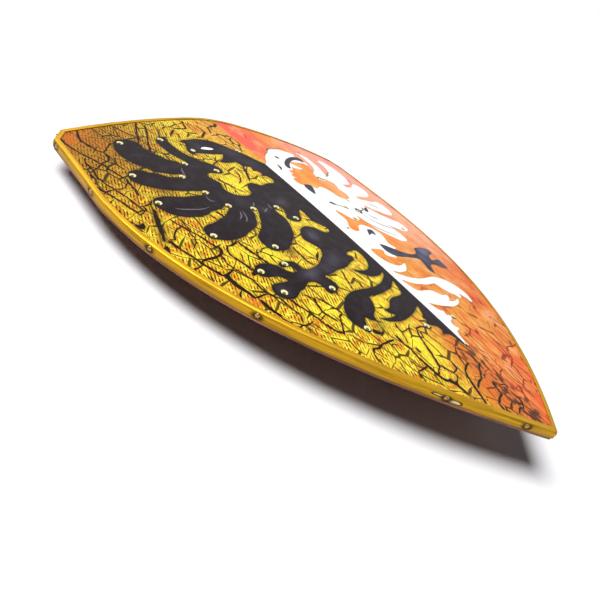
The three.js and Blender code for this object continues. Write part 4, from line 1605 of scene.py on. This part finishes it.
def stitch_lines():
    """Two lines along each face of each strap, sunk a little into the leather."""
    data = bpy.data.meshes.new("stitch_lines")
    verts, edges = [], []
    for strap in STRAPS.values():
        line = [Vector(p) for p in strap_line(strap)]
        inner = [i for i, p in enumerate(line) if abs(p.x) < strap["end"] - STITCH_END_GAP]
        for across in (-STRAP_WIDTH / 2 + STITCH_INSET, STRAP_WIDTH / 2 - STITCH_INSET):
            for face in (-1, 1):
                for i in inner:
                    side = left_of(line, i) * face
                    spot = line[i] + side * (STRAP_THICKNESS / 2 - STITCH_SUNK)
                    if i != inner[0]:
                        edges.append((len(verts) - 1, len(verts)))
                    verts.append(hang_point(strap, across, spot.x, spot.y))
    data.from_pydata(verts, edges, [])
    return data


stitch_sizes = {"Pitch": STITCH_PITCH, "Length": STITCH_LENGTH, "Thickness": STITCH_THICKNESS}
stitches = grown(
    "strap_stitches", stitch_lines(), stitch_tree("stitches", thread), stitch_sizes,
    slot="strap_leather",
)
print("stitch faces:", len(stitches.data.polygons))

# %% Strap screws
SCREW_RADIUS = 4.6
SCREW_HEIGHT = 2.4
SCREW_INSET = 14
SCREW_SPREAD = 10


def screw_places():
    places = []
    for strap in STRAPS.values():
        for end in (-1, 1):
            for across in (-SCREW_SPREAD, SCREW_SPREAD):
                u = strap["u"] + across
                v = strap["v"] + end * (strap["end"] - SCREW_INSET)
                seat = bend(u, v, -BOARD_THICKNESS - STRAP_THICKNESS - STRAP_GAP)
                places.append((seat, (seat - bend(u, v, 0)).normalized()))
    return places


screw_names = [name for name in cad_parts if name.startswith("strap_screw_")]
screw_sizes = {"Head radius": SCREW_RADIUS, "Head height": SCREW_HEIGHT}
screws = grown(
    "steel_strap_screws", points_mesh("strap_screws", screw_places()),
    dome_tree("screw_heads", screw_steel), screw_sizes, *screw_names, slot="steel_screw",
)
print("screw faces:", len(screws.data.polygons))

# %% [markdown]
# ## Table and light
# A pale table and one large soft light, high up and a little behind the shield to its left,
# leave a dark, soft shadow under the near edge. A weak light from the other side lifts it.
# The world is white to the camera and lends almost no light. In a mirror it is dark at the
# horizon, bright in a band above it and dimmer overhead, which gives the brass its contrast.

# %% Table and light
TABLE_REACH = 30.0
WORLD_LENT = 0.01
MIRRORED_HORIZON = 0.15
MIRRORED_BAND = 1.4
MIRRORED_OVERHEAD = 0.55

table_data = bpy.data.meshes.new("table_top")
corners = [(-TABLE_REACH, -TABLE_REACH, 0), (TABLE_REACH, -TABLE_REACH, 0)]
corners += [(TABLE_REACH, TABLE_REACH, 0), (-TABLE_REACH, TABLE_REACH, 0)]
table_data.from_pydata(corners, [], [(0, 1, 2, 3)])
table = put_in_scene("table_top", table_data)
table_paint, add, _ = new_material("matt_white_table")
matt = add("ShaderNodeBsdfDiffuse", {"Color": "#f8f7fa"})
add("ShaderNodeOutputMaterial", {"Surface": matt})
table_data.materials.append(table_paint)

world = bpy.data.worlds.new("white_studio")
world.use_nodes = True
world.node_tree.nodes.clear()
add = partial(add_node, world.node_tree)
direction = add("ShaderNodeSeparateXYZ", {0: add("ShaderNodeTexCoord").outputs["Generated"]})
height = direction.outputs["Z"]
mirrored = add("step", height, 0.55, 0.8, MIRRORED_BAND, MIRRORED_OVERHEAD)
mirrored = add("step", height, 0.22, 0.48, MIRRORED_HORIZON, mirrored)
ray = add("ShaderNodeLightPath").outputs
lent = add("range", ray["Is Diffuse Ray"], 0.0, 1.0, mirrored, WORLD_LENT)
seen = add("range", ray["Is Camera Ray"], 0.0, 1.0, lent, 1.0)
sky = add("ShaderNodeBackground", {"Color": "#ffffff", "Strength": seen})
add("ShaderNodeOutputWorld", {"Surface": sky})
bpy.context.scene.world = world


def soft_sun(name, direction, spread, power):
    """An even light from one direction; a wide spread gives soft shadows."""
    data = bpy.data.lights.new(name, "SUN")
    data.angle = math.radians(spread)
    data.energy = power
    lamp = put_in_scene(name, data)
    lamp.rotation_mode = "QUATERNION"
    lamp.rotation_quaternion = Vector(direction).to_track_quat("Z", "Y")


soft_sun("key", (-0.32, 0.40, 0.93), 40, 4.1)
soft_sun("fill", (0.6, -0.8, 0.45), 70, 0.22)
print("lights placed")
